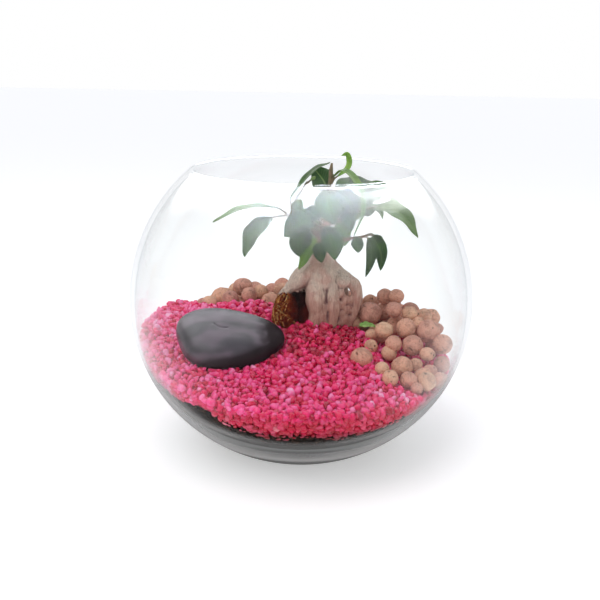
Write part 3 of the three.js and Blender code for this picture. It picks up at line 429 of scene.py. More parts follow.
def settle(balls, face_count):
    """Lets the balls sink and roll apart. Those of the face stay where they are."""
    fixed = [(b["x"], b["y"], b["z"], b["r"]) for b in loose_balls()]
    for name in ("body", "right_arm", "back_left", "back_right"):
        fixed += [(x, y, z, r + 0.8) for x, y, z, r in LIMBS[name]]
    fixed.append((*ROOT_MAT["centre"], max(ROOT_MAT["half"]) + 1))
    for _ in range(BALL["rounds"]):
        for i, a in enumerate(balls):
            for b in balls[max(i + 1, face_count):]:
                dx, dy, dz = b["x"] - a["x"], b["y"] - a["y"], b["z"] - a["z"]
                square = dx * dx + dy * dy + dz * dz
                if square >= (a["r"] + b["r"]) ** 2:
                    continue
                distance = math.sqrt(square)
                push = (a["r"] + b["r"] - distance) / distance
                share = 0 if i < face_count else 0.5
                for axis, step in (("x", dx), ("y", dy), ("z", dz)):
                    a[axis] -= step * push * share
                    b[axis] += step * push * (1 - share)
            if i < face_count:
                continue
            a["z"] -= BALL["drop"]
            for x, y, z, r in fixed:
                dx, dy, dz = a["x"] - x, a["y"] - y, a["z"] - z
                distance = math.sqrt(dx * dx + dy * dy + dz * dz)
                overlap = a["r"] + r - distance
                if overlap > 0:
                    a["x"] += dx / distance * overlap
                    a["y"] += dy / distance * overlap
                    a["z"] += dz / distance * overlap
            a["z"] = max(a["z"], float(gravel_height(a["x"], a["y"])) + 0.85 * a["r"])
            far = math.hypot(a["x"], a["y"])
            limit = float(inner_radius(a["z"] - 0.3 * a["r"])) - a["r"] - BALL["clear"]
            if far > limit:
                a["x"] *= limit / far
                a["y"] *= limit / far


# ---------------------------------------------------------------- mesh tools


def lumps(points, size, seed=0):
    """Smooth relief from -1 to 1 over points, in lumps of about that size."""
    scaled = points / size
    cell = np.floor(scaled).astype(np.int64)
    part = scaled - cell
    part = part * part * (3 - 2 * part)
    total = np.zeros(len(points))
    for corner in np.ndindex(2, 2, 2):
        i, j, k = (cell + corner).T
        mixed = (i * 374761393 + j * 668265263 + k * 1440662683 + seed * 1274126177) & 0xFFFFFFFF
        mixed = ((mixed ^ (mixed >> 13)) * 1103515245) & 0xFFFFFFFF
        value = ((mixed ^ (mixed >> 16)) & 0xFFFF) / 32767.5 - 1
        total += value * np.prod(np.where(corner, part, 1 - part), axis=1)
    return total


class Shape:
    """Points and faces collected for one piece. tone is a number that the finish reads."""

    def __init__(self):
        self.points, self.tones, self.places = [], [], []
        self.faces, self.finishes = [], []
        self.count = 0

    def add(self, points, faces, tone=0.0, finish=0, place=None):
        points = np.asarray(points, float).reshape(-1, 3)
        self.points.append(points)
        self.tones.append(np.broadcast_to(np.asarray(tone, float), (len(points),)))
        self.places.append(np.zeros((len(points), 3)) if place is None else place)
        for block in faces if isinstance(faces, list) else [faces]:
            block = np.asarray(block) + self.count
            self.faces.extend(block.tolist())
            self.finishes.extend([finish] * len(block))
        self.count += len(points)

    def mesh(self, name):
        mesh = bpy.data.meshes.new(name)
        mesh.from_pydata((np.concatenate(self.points) * MM).tolist(), [], self.faces)
        mesh.polygons.foreach_set("material_index", self.finishes)
        mesh.polygons.foreach_set("use_smooth", [True] * len(self.faces))
        tone = mesh.attributes.new("tone", "FLOAT", "POINT")
        tone.data.foreach_set("value", np.concatenate(self.tones).astype(np.float32))
        place = mesh.attributes.new("place", "FLOAT_VECTOR", "POINT")
        place.data.foreach_set("vector", np.concatenate(self.places).astype(np.float32).ravel())
        mesh.update()
        return mesh


def put_in_scene(name, data):
    made = bpy.data.objects.new(name, data)
    bpy.context.scene.collection.objects.link(made)
    return made


def add_piece(name, shape, finishes, replaces=()):
    piece = put_in_scene(name, shape.mesh(name))
    for finish in finishes:
        piece.data.materials.append(finish)
    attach(piece, "root")
    if replaces:
        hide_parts(*replaces)


def skin(rings):
    """Faces that join rings of points, each with as many points, into one closed skin."""
    count, sides = len(rings), len(rings[0])
    start = np.arange(count - 1)[:, None] * sides
    side = np.arange(sides)[None, :]
    after = (side + 1) % sides
    quads = np.stack([start + side, start + after, start + sides + after, start + sides + side], -1)
    end = np.arange(sides)[None, :]
    return [quads.reshape(-1, 4), end[:, ::-1], end + (count - 1) * sides]


def on_curve(route, t):
    """Point at t from 0 to 1 on a smooth curve through the route's points."""
    points = np.array([point[:3] for point in route], float)
    last = len(points) - 1
    at = min(max(t, 0.0), 1.0) * last
    i = min(int(at), last - 1)
    part = at - i
    before = points[i - 1] if i > 0 else 2 * points[0] - points[1]
    after = points[i + 2] if i + 2 <= last else 2 * points[last] - points[last - 1]
    p1, p2 = points[i], points[i + 1]
    d0, d1, d2 = (math.sqrt(np.linalg.norm(b - a)) for a, b in ((before, p1), (p1, p2), (p2, after)))
    leave = ((p1 - before) / d0 - (p2 - before) / (d0 + d1) + (p2 - p1) / d1) * d1
    arrive = ((p2 - p1) / d1 - (after - p1) / (d1 + d2) + (after - p2) / d2) * d1
    return (
        p1 + leave * part + (3 * (p2 - p1) - 2 * leave - arrive) * part**2
        + (2 * (p1 - p2) + leave + arrive) * part**3)


def along_curve(route, t):
    step = 1e-3
    ahead, behind = on_curve(route, min(t + step, 1)), on_curve(route, max(t - step, 0))
    return (ahead - behind) / np.linalg.norm(ahead - behind)


def limb(route, sides, steps, ripple=0.0):
    """Rings of a round limb that follows x, y, z, radius points. ripple gives long folds."""
    radii = [point[3] for point in route]
    normal = np.array([0.0, -1.0, 0.0])
    angles = np.arange(sides) * 2 * math.pi / sides
    rings = []
    for t in np.linspace(0, 1, steps + 1):
        tangent = along_curve(route, t)
        normal = normal - tangent * (normal @ tangent)
        normal /= np.linalg.norm(normal)
        across = np.cross(tangent, normal)
        folds = 1 + ripple * (np.sin(3 * angles + 5 * t) + 0.6 * np.sin(5 * angles - 9 * t))
        radius = np.interp(t * (len(radii) - 1), range(len(radii)), radii) * folds
        rings.append(
            on_curve(route, t)
            + np.outer(radius * np.cos(angles), normal) + np.outer(radius * np.sin(angles), across))
    return np.array(rings)


def taken_from(work):
    """Points and triangles of a bmesh, which is then freed."""
    work.verts.index_update()
    points = np.array([vertex.co for vertex in work.verts])
    faces = np.array([[vertex.index for vertex in face.verts] for face in work.faces])
    work.free()
    return points, faces


def round_template(subdivisions):
    """Points and triangles of a round ball of radius 1."""
    work = bmesh.new()
    bmesh.ops.create_icosphere(work, subdivisions=subdivisions, radius=1)
    return taken_from(work)


def chip_template(draws, cuts=8):
    """Points and triangles of a stone chip about 1 in radius, with flats and rounded edges."""
    points, faces = round_template(2)
    for _ in range(cuts):
        direction = draws.normal(size=3)
        direction /= np.linalg.norm(direction)
        beyond = np.maximum(points @ direction - draws.uniform(0.5, 0.8), 0)
        points = points - 0.9 * np.outer(beyond, direction)
    return points, faces


def crumb_template(draws, corners=10):
    """Points and triangles of an angular crumb about 1 in radius."""
    directions = draws.normal(size=(corners, 3))
    directions /= np.linalg.norm(directions, axis=1)[:, None]
    work = bmesh.new()
    for direction in directions * draws.uniform(0.85, 1.1, (corners, 1)):
        work.verts.new(direction)
    bmesh.ops.convex_hull(work, input=work.verts)
    bmesh.ops.triangulate(work, faces=work.faces)
    return taken_from(work)


def turns(count, draws):
    """Random rotation matrices."""
    w, x, y, z = (draws.normal(size=(4, count)))
    length = np.sqrt(w * w + x * x + y * y + z * z)
    w, x, y, z = w / length, x / length, y / length, z / length
    rows = [
        [1 - 2 * (y * y + z * z), 2 * (x * y - w * z), 2 * (x * z + w * y)],
        [2 * (x * y + w * z), 1 - 2 * (x * x + z * z), 2 * (y * z - w * x)],
        [2 * (x * z - w * y), 2 * (y * z + w * x), 1 - 2 * (x * x + y * y)],
    ]
    return np.moveaxis(np.array(rows), -1, 0)


def kept_in_glass(points, clear=0.25):
    """The points, with those that would reach the glass pressed flat just inside it."""
    far = np.hypot(points[:, 0], points[:, 1])
    limit = shown_radius(points[:, 2], clear)
    shrink = np.where(far > limit, limit / np.maximum(far, 1e-6), 1)
    return points * np.stack([shrink, shrink, np.ones_like(shrink)], axis=1)


def melted(shape, voxel, rounds):
    """Points, normals, faces and edges of overlapping closed shapes melted into one skin."""
    rough = put_in_scene("rough", shape.mesh("rough"))
    remesh = rough.modifiers.new("melt", "REMESH")
    remesh.mode, remesh.voxel_size = "VOXEL", voxel * MM
    soften = rough.modifiers.new("soften", "SMOOTH")
    soften.factor, soften.iterations = 0.5, rounds
    graph = bpy.context.evaluated_depsgraph_get()
    mesh = bpy.data.meshes.new_from_object(rough.evaluated_get(graph))
    points = np.array([vertex.co for vertex in mesh.vertices]) / MM
    normals = np.array([normal.vector for normal in mesh.vertex_normals])
    faces = np.array([list(face.vertices) for face in mesh.polygons])
    edges = np.array([list(edge.vertices) for edge in mesh.edges])
    bpy.data.objects.remove(rough)
    bpy.data.meshes.remove(mesh)
    return points, normals, faces, edges


def hollows(points, normals, edges, rounds=30):
    """How deep each point lies in a hollow of its surface, in millimetres: below 0 on a ridge."""
    smooth = points.copy()
    share = np.zeros(len(points))
    np.add.at(share, edges.ravel(), 1)
    for _ in range(rounds):
        total = np.zeros_like(smooth)
        np.add.at(total, edges[:, 0], smooth[edges[:, 1]])
        np.add.at(total, edges[:, 1], smooth[edges[:, 0]])
        smooth = total / share[:, None]
    return ((smooth - points) * normals).sum(1)


# ---------------------------------------------------------------- finishes

STONE_SHADE_SIDE = (0.62, -0.5, -0.6)  # the way that the stone's darkest flank faces


def paint(red, green, blue):
    """A colour given in display numbers from 0 to 255."""
    shares = (red / 255, green / 255, blue / 255)
    linear = [c / 12.92 if c <= 0.04045 else ((c + 0.055) / 1.055) ** 2.4 for c in shares]
    return (*linear, 1.0)


class Value:
    """A node's output, on which + - and * add Math nodes."""

    def __init__(self, finish, socket):
        self.finish, self.socket = finish, socket

    def out(self, name):
        return Value(self.finish, self.socket.node.outputs[name])

    def math(self, operation, *inputs):
        return self.finish.node("Math", {"operation": operation}, dict(enumerate(inputs)))

    def __add__(self, other):
        return self.math("ADD", self, other)

    def __sub__(self, other):
        return self.math("SUBTRACT", self, other)

    def __rsub__(self, other):
        return self.math("SUBTRACT", other, self)

    def __mul__(self, other):
        return self.math("MULTIPLY", self, other)

    __radd__, __rmul__ = __add__, __mul__

    def abs(self):
        return self.math("ABSOLUTE", self)

    def fraction(self):
        return self.math("FRACT", self)

    def larger(self, other):
        return self.math("MAXIMUM", self, other)

    def power(self, exponent):
        return self.math("POWER", self, exponent)

    def between(self, low, high):
        """0 at low and 1 at high, smooth in between."""
        return self.finish.node(
            "MapRange", {"interpolation_type": "SMOOTHSTEP"},
            {"Value": self, "From Min": low, "From Max": high})


class Finish:
    """The nodes of one material, or of the room's light."""

    def __init__(self, owner):
        if isinstance(owner, str):
            owner = bpy.data.materials.new(owner)
        self.owner = owner
        owner.use_nodes = True
        self.tree = owner.node_tree
        self.tree.nodes.clear()
        self.place = self.node("TexCoord").out("Object")

    def node(self, kind, settings=None, inputs=None, output=0):
        """Adds a node: first its settings, then the values or links of its sockets."""
        made = self.tree.nodes.new("ShaderNode" + kind)
        for name, setting in (settings or {}).items():
            if name == "stops":
                stops = made.color_ramp.elements
                while len(stops) < len(setting):
                    stops.new(1.0)
                for stop, (position, colour) in zip(stops, setting):
                    stop.position, stop.color = position, colour
            else:
                setattr(made, name, setting)
        for name, value in (inputs or {}).items():
            if isinstance(value, Value):
                self.tree.links.new(value.socket, made.inputs[name])
            else:
                made.inputs[name].default_value = value
        return Value(self, made.outputs[output])

    def noise(self, per_mm, detail=4.0, stretch=None):
        """Soft noise with about that many lumps in a millimetre."""
        place = self.place
        if stretch:
            place = self.node("VectorMath", {"operation": "MULTIPLY"}, {0: place, 1: stretch})
        return self.node("TexNoise", inputs={"Vector": place, "Scale": per_mm / MM, "Detail": detail})

    def cells(self, per_mm, feature="F1"):
        return self.node("TexVoronoi", {"feature": feature}, {"Vector": self.place, "Scale": per_mm / MM})

    def read(self, name, output="Fac"):
        return self.node("Attribute", {"attribute_name": name}).out(output)

    def split(self, vector):
        """The parts of a vector, as outputs X, Y and Z."""
        return self.node("SeparateXYZ", inputs={0: vector})

    def ramp(self, value, stops):
        return self.node("ValToRGB", {"stops": stops}, {"Fac": value})

    def blend(self, share, first, second, how="MIX"):
        settings = {"data_type": "RGBA", "blend_type": how}
        return self.node("Mix", settings, {0: share, 6: first, 7: second}, output=2)

    def mixed(self, share, first, second):
        """A shader that turns from the first into the second as the share rises."""
        return self.node("MixShader", inputs={0: share, 1: first, 2: second})

    def bump(self, height, depth, strength=1.0):
        """A normal for relief of that depth in millimetres."""
        return self.node("Bump", inputs={"Height": height, "Distance": depth * MM, "Strength": strength})

    def done(self, **inputs):
        """Finishes the material with one Principled shader."""
        named = {name.replace("_", " "): value for name, value in inputs.items()}
        return self.shown(self.node("BsdfPrincipled", inputs=named))

    def shown(self, shader):
        kind = "Material" if isinstance(self.owner, bpy.types.Material) else "World"
        end = self.tree.nodes.new("ShaderNodeOutput" + kind)
        self.tree.links.new(shader.socket, end.inputs["Surface"])
        return self.owner


def clear_glass():
    """Clear blown glass. It mirrors more at a glancing view, and its mirroring is cut low down over
    the dark soil and at the rim's lip, as painted shade. Its thick foot, its glancing edges low down
    and its base are painted grey shade, with level streaks. Lamp light goes through it."""
    finish = Finish("clear_glass")
    facing = finish.node("LayerWeight", inputs={"Blend": 0.5}).out("Facing")
    to_camera = 1 - finish.node("LightPath").out("Is Shadow Ray")
    height = finish.split(finish.place).out("Z")
    # Painted grey shade: over the thick foot, at glancing edges low down, and darkest at the base, with
    # level streaks.
    foot = height.between(33 * MM, 28 * MM)
    edge = facing.between(0.62, 0.85) * height.between(84 * MM, 52 * MM)
    streaks = finish.noise(0.22, 4, stretch=(0.04, 0.04, 1)).between(0.4, 0.6)
    painted_grey_shade = finish.blend(streaks, (0.2, 0.205, 0.21, 1), (0.012, 0.012, 0.013, 1))
    painted_grey_shade = finish.blend(facing.between(0.6, 0.8) * 0.85, painted_grey_shade, (0.46, 0.45, 0.445, 1))
    painted_grey_shade = finish.blend(height.between(17 * MM, 12 * MM) * 0.8, painted_grey_shade, (0.02, 0.018, 0.018, 1))
    open_air = finish.node("BsdfTransparent", inputs={"Color": (0.985, 0.992, 0.99, 1)})
    grey = finish.node("BsdfDiffuse", inputs={"Color": painted_grey_shade})
    body = finish.mixed((0.6 * foot).larger(0.66 * edge) * to_camera, open_air, grey)
    mirror = finish.node("BsdfAnisotropic", inputs={"Color": (0.86, 0.865, 0.87, 1), "Roughness": 0.0})
    # Painted shade on the reflection: the mirroring is cut at the rim's lip and low down over the dark soil.
    below_rim = 1 - 0.6 * height.between(204.3 * MM, 205.2 * MM)
    above_foot = 0.03 + 0.97 * height.between(45 * MM, 92 * MM)
    share = (0.0045 + 0.85 * facing.power(3.6)) * above_foot * below_rim * to_camera
    return finish.shown(finish.mixed(share, body, mirror))


def dyed_gravel():
    """Dyed stone chips, each in its own pink, paler where the dye has worn off, deeper by the trunk
    as painted shade and paler at the sides as a painted reflection, and painted coral and darker
    low down by the glass, as shade."""
    finish = Finish("dyed_gravel")
    tone = finish.read("tone")
    dye = finish.ramp(tone, [
        (0.0, paint(158, 0, 44)), (0.2, paint(206, 2, 66)), (0.45, paint(238, 28, 108)),
        (0.7, paint(248, 84, 152)), (0.88, paint(252, 126, 178)), (1.0, paint(255, 168, 204))])
    worn = finish.noise(0.35, 4).between(0.5, 0.76)
    colour = finish.blend(worn * 0.25, dye, paint(255, 168, 200))
    height = finish.split(finish.place).out("Z")
    # Painted shade: coral and then darker low down by the glass.
    colour = finish.blend(height.between(64 * MM, 55 * MM), colour, (0.78, 0.5, 0.42, 1), "MULTIPLY")
    colour = finish.blend(height.between(50 * MM, 42 * MM), colour, (0.45, 0.45, 0.4, 1), "MULTIPLY")
    relief = finish.noise(0.8, 4)
    return finish.done(
        Base_Color=colour, Roughness=0.34 + 0.3 * finish.noise(0.7, 3), Specular_IOR_Level=0.3,
        Subsurface_Weight=0.3, Subsurface_Radius=(1.0, 0.25, 0.4), Subsurface_Scale=2.5 * MM,
        Normal=finish.bump(relief, 0.25, 0.6))


def gravel_shade():
    """The deep pink that shows between chips, darker than the chips as painted shade."""
    finish = Finish("gravel_depth")
    colour = finish.ramp(finish.noise(0.35, 4), [
        (0.3, paint(150, 0, 34)), (0.5, paint(200, 8, 60)), (0.7, paint(232, 40, 96))])
    return finish.done(Base_Color=colour, Roughness=0.8, Normal=finish.bump(finish.noise(0.6, 3), 0.8))


def baked_clay():
    """Expanded clay: a rough orange-brown skin with grit, dark pits, cracks and scorched patches."""
    finish = Finish("baked_clay")
    tone = finish.read("tone")
    skin_colour = finish.ramp(tone, [
        (0.0, paint(192, 136, 124)), (0.35, paint(226, 164, 144)), (0.65, paint(238, 180, 152)),
        (0.85, paint(238, 194, 162)), (1.0, paint(226, 204, 182))])
    scorch = finish.noise(0.14, 3).between(0.45, 0.68)
    colour = finish.blend(scorch * 0.5, skin_colour, paint(148, 98, 86))
    grit = finish.noise(1.1, 6)
    colour = finish.blend(grit.between(0.52, 0.7) * 0.45, colour, paint(246, 206, 172))
    colour = finish.blend(grit.between(0.46, 0.3) * 0.55, colour, paint(112, 66, 52))
    patches = finish.noise(0.2, 2)
    pits = finish.cells(0.2).between(0.18, 0.08) * patches.between(0.48, 0.56)
    crack = finish.cells(0.1, "DISTANCE_TO_EDGE").between(0.025, 0.005) * patches.between(0.56, 0.64)
    deep = pits.larger(crack * 0.8)
    colour = finish.blend(deep * 0.75, colour, paint(60, 32, 26))
    return finish.done(
        Base_Color=colour, Roughness=0.92, Specular_IOR_Level=0.25,
        Normal=finish.bump(grit - 1.6 * deep, 0.8, 0.9))


def old_bark():
    """Smooth beige-grey skin with fine upright streaks and flecks, with painted light and shade:
    paler towards the top, darker and redder lower down, dark mauve in its creases and near black
    in its deeper hollows.
    """
    finish = Finish("old_bark")
    hollow = finish.read("tone")
    streaks = finish.noise(0.7, 5, stretch=(1, 1, 0.16))
    colour = finish.ramp(streaks, [
        (0.28, paint(128, 94, 82)), (0.46, paint(184, 150, 134)), (0.6, paint(208, 176, 156)),
        (0.78, paint(230, 210, 188))])
    height = finish.split(finish.place).out("Z")
    # Painted light: paler towards the top.
    colour = finish.blend(height.between(104 * MM, 120 * MM) * 0.5, colour, paint(212, 198, 184))
    blotch = finish.noise(0.08, 4).between(0.42, 0.62)
    colour = finish.blend(blotch * 0.5, colour, paint(184, 128, 116))
    flecks = finish.noise(1.0, 4).between(0.58, 0.72)
    colour = finish.blend(flecks * 0.5, colour, paint(240, 226, 206))
    # Painted shade: darker and redder lower down.
    colour = finish.blend(height.between(114 * MM, 96 * MM) * 0.6, colour, paint(156, 98, 86))
    # Painted shade in the hollows: dark mauve in shallow creases, near black deeper in.
    crease = hollow.between(0.05, 1.3)
    colour = finish.blend(crease * 0.9, colour, paint(84, 48, 54))
    colour = finish.blend(hollow.between(1.2, 2.4) * 0.75, colour, paint(40, 16, 16))
    specks = 1 - finish.cells(0.5).between(0.08, 0.18)
    colour = finish.blend(specks * 0.6, colour, paint(92, 60, 50))
    wrinkles = finish.noise(0.5, 5, stretch=(0.35, 0.35, 1.6))
    return finish.done(
        Base_Color=colour, Roughness=0.6 + 0.16 * streaks, Specular_IOR_Level=0.3,
        Normal=finish.bump(wrinkles + 0.8 * streaks - 0.4 * specks, 0.6, 0.7))


def root_fibre():
    """Fibres from near black through red-brown to straw gold."""
    finish = Finish("root_fibre")
    tone = finish.read("tone") * (0.35 + 1.2 * finish.noise(0.9, 6).between(0.35, 0.65))
    colour = finish.ramp(tone, [
        (0.0, paint(16, 1, 1)), (0.3, paint(104, 14, 6)), (0.55, paint(164, 66, 26)),
        (0.8, paint(212, 138, 66)), (1.0, paint(244, 204, 130))])
    return finish.done(
        Base_Color=colour, Roughness=0.8, Specular_IOR_Level=0.05,
        Normal=finish.bump(finish.noise(0.8, 5), 0.8))


def potting_soil():
    """Dark crumbs with brown fibres and pale specks."""
    finish = Finish("potting_soil")
    colour = finish.ramp(finish.noise(0.42, 8), [
        (0.3, paint(8, 5, 3)), (0.5, paint(22, 14, 10)), (0.64, paint(64, 42, 30)),
        (0.8, paint(124, 90, 66))])
    specks = 1 - finish.cells(0.3).between(0.08, 0.14)
    colour = finish.blend(specks * 0.6, colour, paint(168, 140, 116))
    return finish.done(
        Base_Color=colour, Roughness=0.95, Specular_IOR_Level=0.08,
        Normal=finish.bump(finish.noise(0.7, 8), 1.6))


def polished_stone():
    """Black stone with grey veils: satin on top, and dark on its shaded flank and at its right end,
    both painted shade, with spots of satin showing at the end.
    """
    finish = Finish("polished_stone")
    veil = finish.noise(0.06, 6, stretch=(0.8, 1.5, 1.5)).between(0.4, 0.66)
    colour = finish.blend(veil, paint(28, 16, 28), paint(84, 68, 80))
    scuffs = finish.noise(0.5, 6)
    colour = finish.blend(scuffs.between(0.55, 0.75) * 0.35, colour, paint(104, 96, 106))
    satin = finish.node("BsdfPrincipled", inputs={
        "Base Color": colour, "Roughness": 0.28 + 0.16 * scuffs,
        "Normal": finish.bump(finish.noise(0.25, 6), 0.3, 0.5)})
    normal = finish.node("NewGeometry").out("Normal")
    away = finish.node(
        "VectorMath", {"operation": "DOT_PRODUCT"}, {0: normal, 1: STONE_SHADE_SIDE}, output="Value")
    flank = (away + 0.3 * finish.noise(0.1, 5)).between(0.3, 0.62)
    along = finish.split(finish.place).out("X") + 14 * MM * finish.noise(0.14, 5)
    # Painted shade at the right end, with spots where the satin shows through.
    end = along.between(-25 * MM, -15 * MM)
    glints = finish.noise(0.24, 3).between(0.62, 0.68) * end
    shaded_share = (flank * 0.9).larger(end * 0.98) - 0.8 * glints
    dark = finish.node("BsdfPrincipled", inputs={
        "Base Color": paint(20, 3, 10), "Roughness": 0.5, "Specular IOR Level": 0.08})
    return finish.shown(finish.mixed(shaded_share, satin, dark))


def ficus_leaf():
    """Leathery blade, glossy above: place holds how far out and how far along a point lies,
    and which side of the blade it is on."""
    finish = Finish("ficus_leaf")
    parts = finish.split(finish.read("place", "Vector"))
    out, far, side = parts.out("X").abs(), parts.out("Y"), parts.out("Z")
    young = finish.read("tone")
    old_green = finish.blend(finish.noise(0.07, 4).between(0.35, 0.7), paint(16, 44, 12), paint(40, 80, 28))
    fresh_share = finish.noise(0.1, 3).between(0.3, 0.7)
    fresh_green = finish.blend(fresh_share, paint(106, 156, 52), paint(166, 202, 102))
    colour = finish.blend(young, old_green, fresh_green)
    under = side.between(0.6, 0.4)
    colour = finish.blend(under * 0.6, colour, paint(104, 136, 74))
    midrib = 1 - out.between(0.02, 0.075)
    steps = (far * 13 - out * 2.2).fraction() - 0.5
    vein = (1 - steps.abs().between(0.02, 0.1)) * (1 - out.between(0.75, 1.0))
    colour = finish.blend(vein * 0.22 + midrib * 0.55, colour, paint(138, 168, 96))
    margin = out.between(0.93, 1.0)
    colour = finish.blend(margin * 0.4, colour, paint(120, 148, 84))
    relief = finish.noise(0.5, 5) * 0.3 - midrib * 0.9 - vein * 0.35
    return finish.done(
        Base_Color=colour, Roughness=0.36 + 0.25 * under + 0.12 * finish.noise(0.3, 3),
        Specular_IOR_Level=0.35, Normal=finish.bump(relief, 0.28, 0.8), Coat_Weight=0.05, Coat_Roughness=0.2)


def green_stem():
    finish = Finish("green_stem")
    colour = finish.blend(finish.noise(0.25, 5).between(0.35, 0.65), paint(96, 92, 60), paint(128, 106, 84))
    return finish.done(Base_Color=colour, Roughness=0.6, Normal=finish.bump(finish.noise(1.0, 4), 0.2))


# ---------------------------------------------------------------- glass bowl


def bowl_shape():
    """The bowl's section turned about Z: foot, outside, rounded rim, inside and thick floor."""
    base_sine = math.sqrt(1 - (BASE_RADIUS / EQUATOR_RADIUS) ** 2)
    outer_drop = EQUATOR_HEIGHT / base_sine
    section = [(BASE_RADIUS * share, 0.9 * (1 - share**4)) for share in np.linspace(0.02, 0.93, 14)]
    start = math.asin(base_sine)
    heel = start * 0.985
    section.append((BASE_RADIUS - 2, 0.0))
    for angle in np.linspace(heel, 0, 60, endpoint=False):
        section.append((EQUATOR_RADIUS * math.cos(angle), EQUATOR_HEIGHT - outer_drop * math.sin(angle)))
    rim_angle = math.asin((RIM_HEIGHT - EQUATOR_HEIGHT) / EQUATOR_RADIUS)
    for angle in np.linspace(0, rim_angle, 50):
        section.append((EQUATOR_RADIUS * math.cos(angle), EQUATOR_HEIGHT + EQUATOR_RADIUS * math.sin(angle)))
    edge_r, edge_z = section[-1]
    for angle in np.linspace(0.2, 2.6, 9):
        out = WALL / 2 * math.cos(angle)
        section.append((edge_r - WALL / 2 + out, edge_z - 0.3 + 1.5 * math.sin(angle)))
    for z in np.linspace(RIM_HEIGHT - 2.2, EQUATOR_HEIGHT, 40):
        section.append((float(inner_radius(z)), z))
    depth = EQUATOR_HEIGHT - SHOWN_FLOOR
    for angle in np.linspace(0, math.pi / 2, 70)[1:-1]:
        z = EQUATOR_HEIGHT - depth * math.sin(angle) ** (2 / SHOWN_POWER)
        section.append((float(shown_radius(z)), z))
    section.append((0.5, SHOWN_FLOOR))
    section = np.array(section)
    spokes = np.arange(160) * 2 * math.pi / 160
    rings = np.stack([
        section[:, :1] * np.cos(spokes), section[:, :1] * np.sin(spokes),
        np.repeat(section[:, 1:], len(spokes), axis=1)], axis=-1)
    shape = Shape()
    shape.add(rings, skin(rings))
    return shape


# ---------------------------------------------------------------- soil and gravel


def filling(top_height, bottom, clear, spokes=180, rings=46):
    """A closed filling of the bowl, from its top surface down the glass. bottom is the
    surface that it lies on, or None where that is the glass."""
    angle = np.arange(spokes) * 2 * math.pi / spokes
    cos, sin = np.cos(angle), np.sin(angle)

    def edge_of(height):
        z = np.full(spokes, 80.0)
        for _ in range(30):
            radius = shown_radius(z, clear)
            z = 0.5 * z + 0.5 * height(radius * cos, radius * sin)
        return z

    def surface(height, shares, edge):
        radius = shown_radius(edge, clear)[None, :] * shares[:, None]
        x, y = radius * cos, radius * sin
        outer = int(np.argmax(shares))
        lift = edge - height(x[outer], y[outer])
        z = height(x, y) + lift[None, :] * shares[:, None] ** 8
        return np.stack([x, y, z], axis=-1)

    top_edge = edge_of(top_height)
    top = surface(top_height, np.linspace(0.01, 1, rings), top_edge)
    if bottom is None:
        depth = EQUATOR_HEIGHT - SHOWN_FLOOR - clear
        start = np.arcsin(np.clip((EQUATOR_HEIGHT - top_edge) / depth, 0, 1) ** (SHOWN_POWER / 2))
        turn = start[None, :] + (math.pi / 2 - 0.02 - start)[None, :] * np.linspace(0, 1, rings)[1:, None]
        z = EQUATOR_HEIGHT - depth * np.sin(turn) ** (2 / SHOWN_POWER)
        radius = shown_radius(z, clear)
        lower = np.stack([radius * cos, radius * sin, z], axis=-1)
        return np.concatenate([top, lower])
    low_edge = edge_of(bottom)
    share = np.linspace(0, 1, 12)[1:, None]
    z = top_edge + (low_edge - top_edge) * share
    radius = shown_radius(z, clear)
    wall = np.stack([radius * cos, radius * sin, z], axis=-1)
    under = surface(bottom, np.linspace(1, 0.01, 24)[1:], low_edge)
    return np.concatenate([top, wall, under])


def soil_shape(draws):
    """The soil, with a crumbled surface, and crumbs that lie against the glass."""
    rings = filling(soil_height, None, GAP)
    flat = rings.reshape(-1, 3)
    relief = 0.9 * lumps(flat, 4.0, 1) + 0.5 * lumps(flat, 1.7, 2)
    inward = flat / np.maximum(np.linalg.norm(flat, axis=1), 1)[:, None]
    flat = flat - inward * np.maximum(relief, 0)[:, None]
    shape = Shape()
    shape.add(kept_in_glass(flat, GAP), skin(rings))
    crumbs = [crumb_template(draws, 9) for _ in range(6)]
    count = 1500
    angle = draws.uniform(0, 2 * math.pi, count)
    for kind, (points, faces) in enumerate(crumbs):
        picked = angle[kind::len(crumbs)]
        x, y = np.cos(picked), np.sin(picked)
        top = soil_height(110 * x, 110 * y)
        z = top - draws.uniform(0, 1, len(picked)) ** 1.4 * (top - 14)
        size = draws.uniform(0.5, 1.5, len(picked))
        radius = shown_radius(z, GAP) - 0.6 * size
        centre = np.stack([radius * x, radius * y, z], axis=1)
        placed = centre[:, None] + size[:, None, None] * (points @ turns(len(picked), draws))
        for one in placed:
            shape.add(kept_in_glass(one, GAP), faces)
    return shape


def gravel_core():
    """The depth of the bed, a little inside its chips."""
    top = lambda x, y: chip_height(x, y) - 1.8
    bottom = lambda x, y: soil_height(x, y) + 0.4
    rings = filling(top, bottom, 2.4)
    flat = rings.reshape(-1, 3)
    flat = flat + np.outer(0.5 * lumps(flat, 3.5, 4), (0, 0, 1))
    shape = Shape()
    shape.add(kept_in_glass(flat, 1.5), skin(rings))
    return shape


CHIP = {
    "size": 2.65, "spread": 0.8, "spacing": 4.1, "kinds": 18, "stretch": (1.18, 1.0, 0.8),
    "row": 0.866, "jitter": 0.35, "past_edge": 4.5,  # how far they reach under the heap's edge
}
# How much dye the chips have lost, from 0 to 1, with painted shade that deepens them by the trunk and a
# painted reflection that pales them at the sides.
WEAR_AND_PAINTED_LIGHT = {"usual": 0.48, "spread": 0.2, "patches": 0.1, "shade_by_trunk": 0.34, "reflection_aside": 0.16}
PAINTED_SHADE_BY_TRUNK = (10, -12, 1, 28)  # x, y, share, spread
# Chips heaped against the foot of the trunk and against the clay balls: x, y, rise, spread.
CHIP_PILES = [(10, -6, 6.5, 17), (-32, 26, 10, 13), (-56, 28, 5, 12), (-78, 32, 5, 12)]


def chip_height(x, y):
    height = gravel_height(x, y)
    for pile in CHIP_PILES:
        height = height + mound(x, y, *pile)
    return height


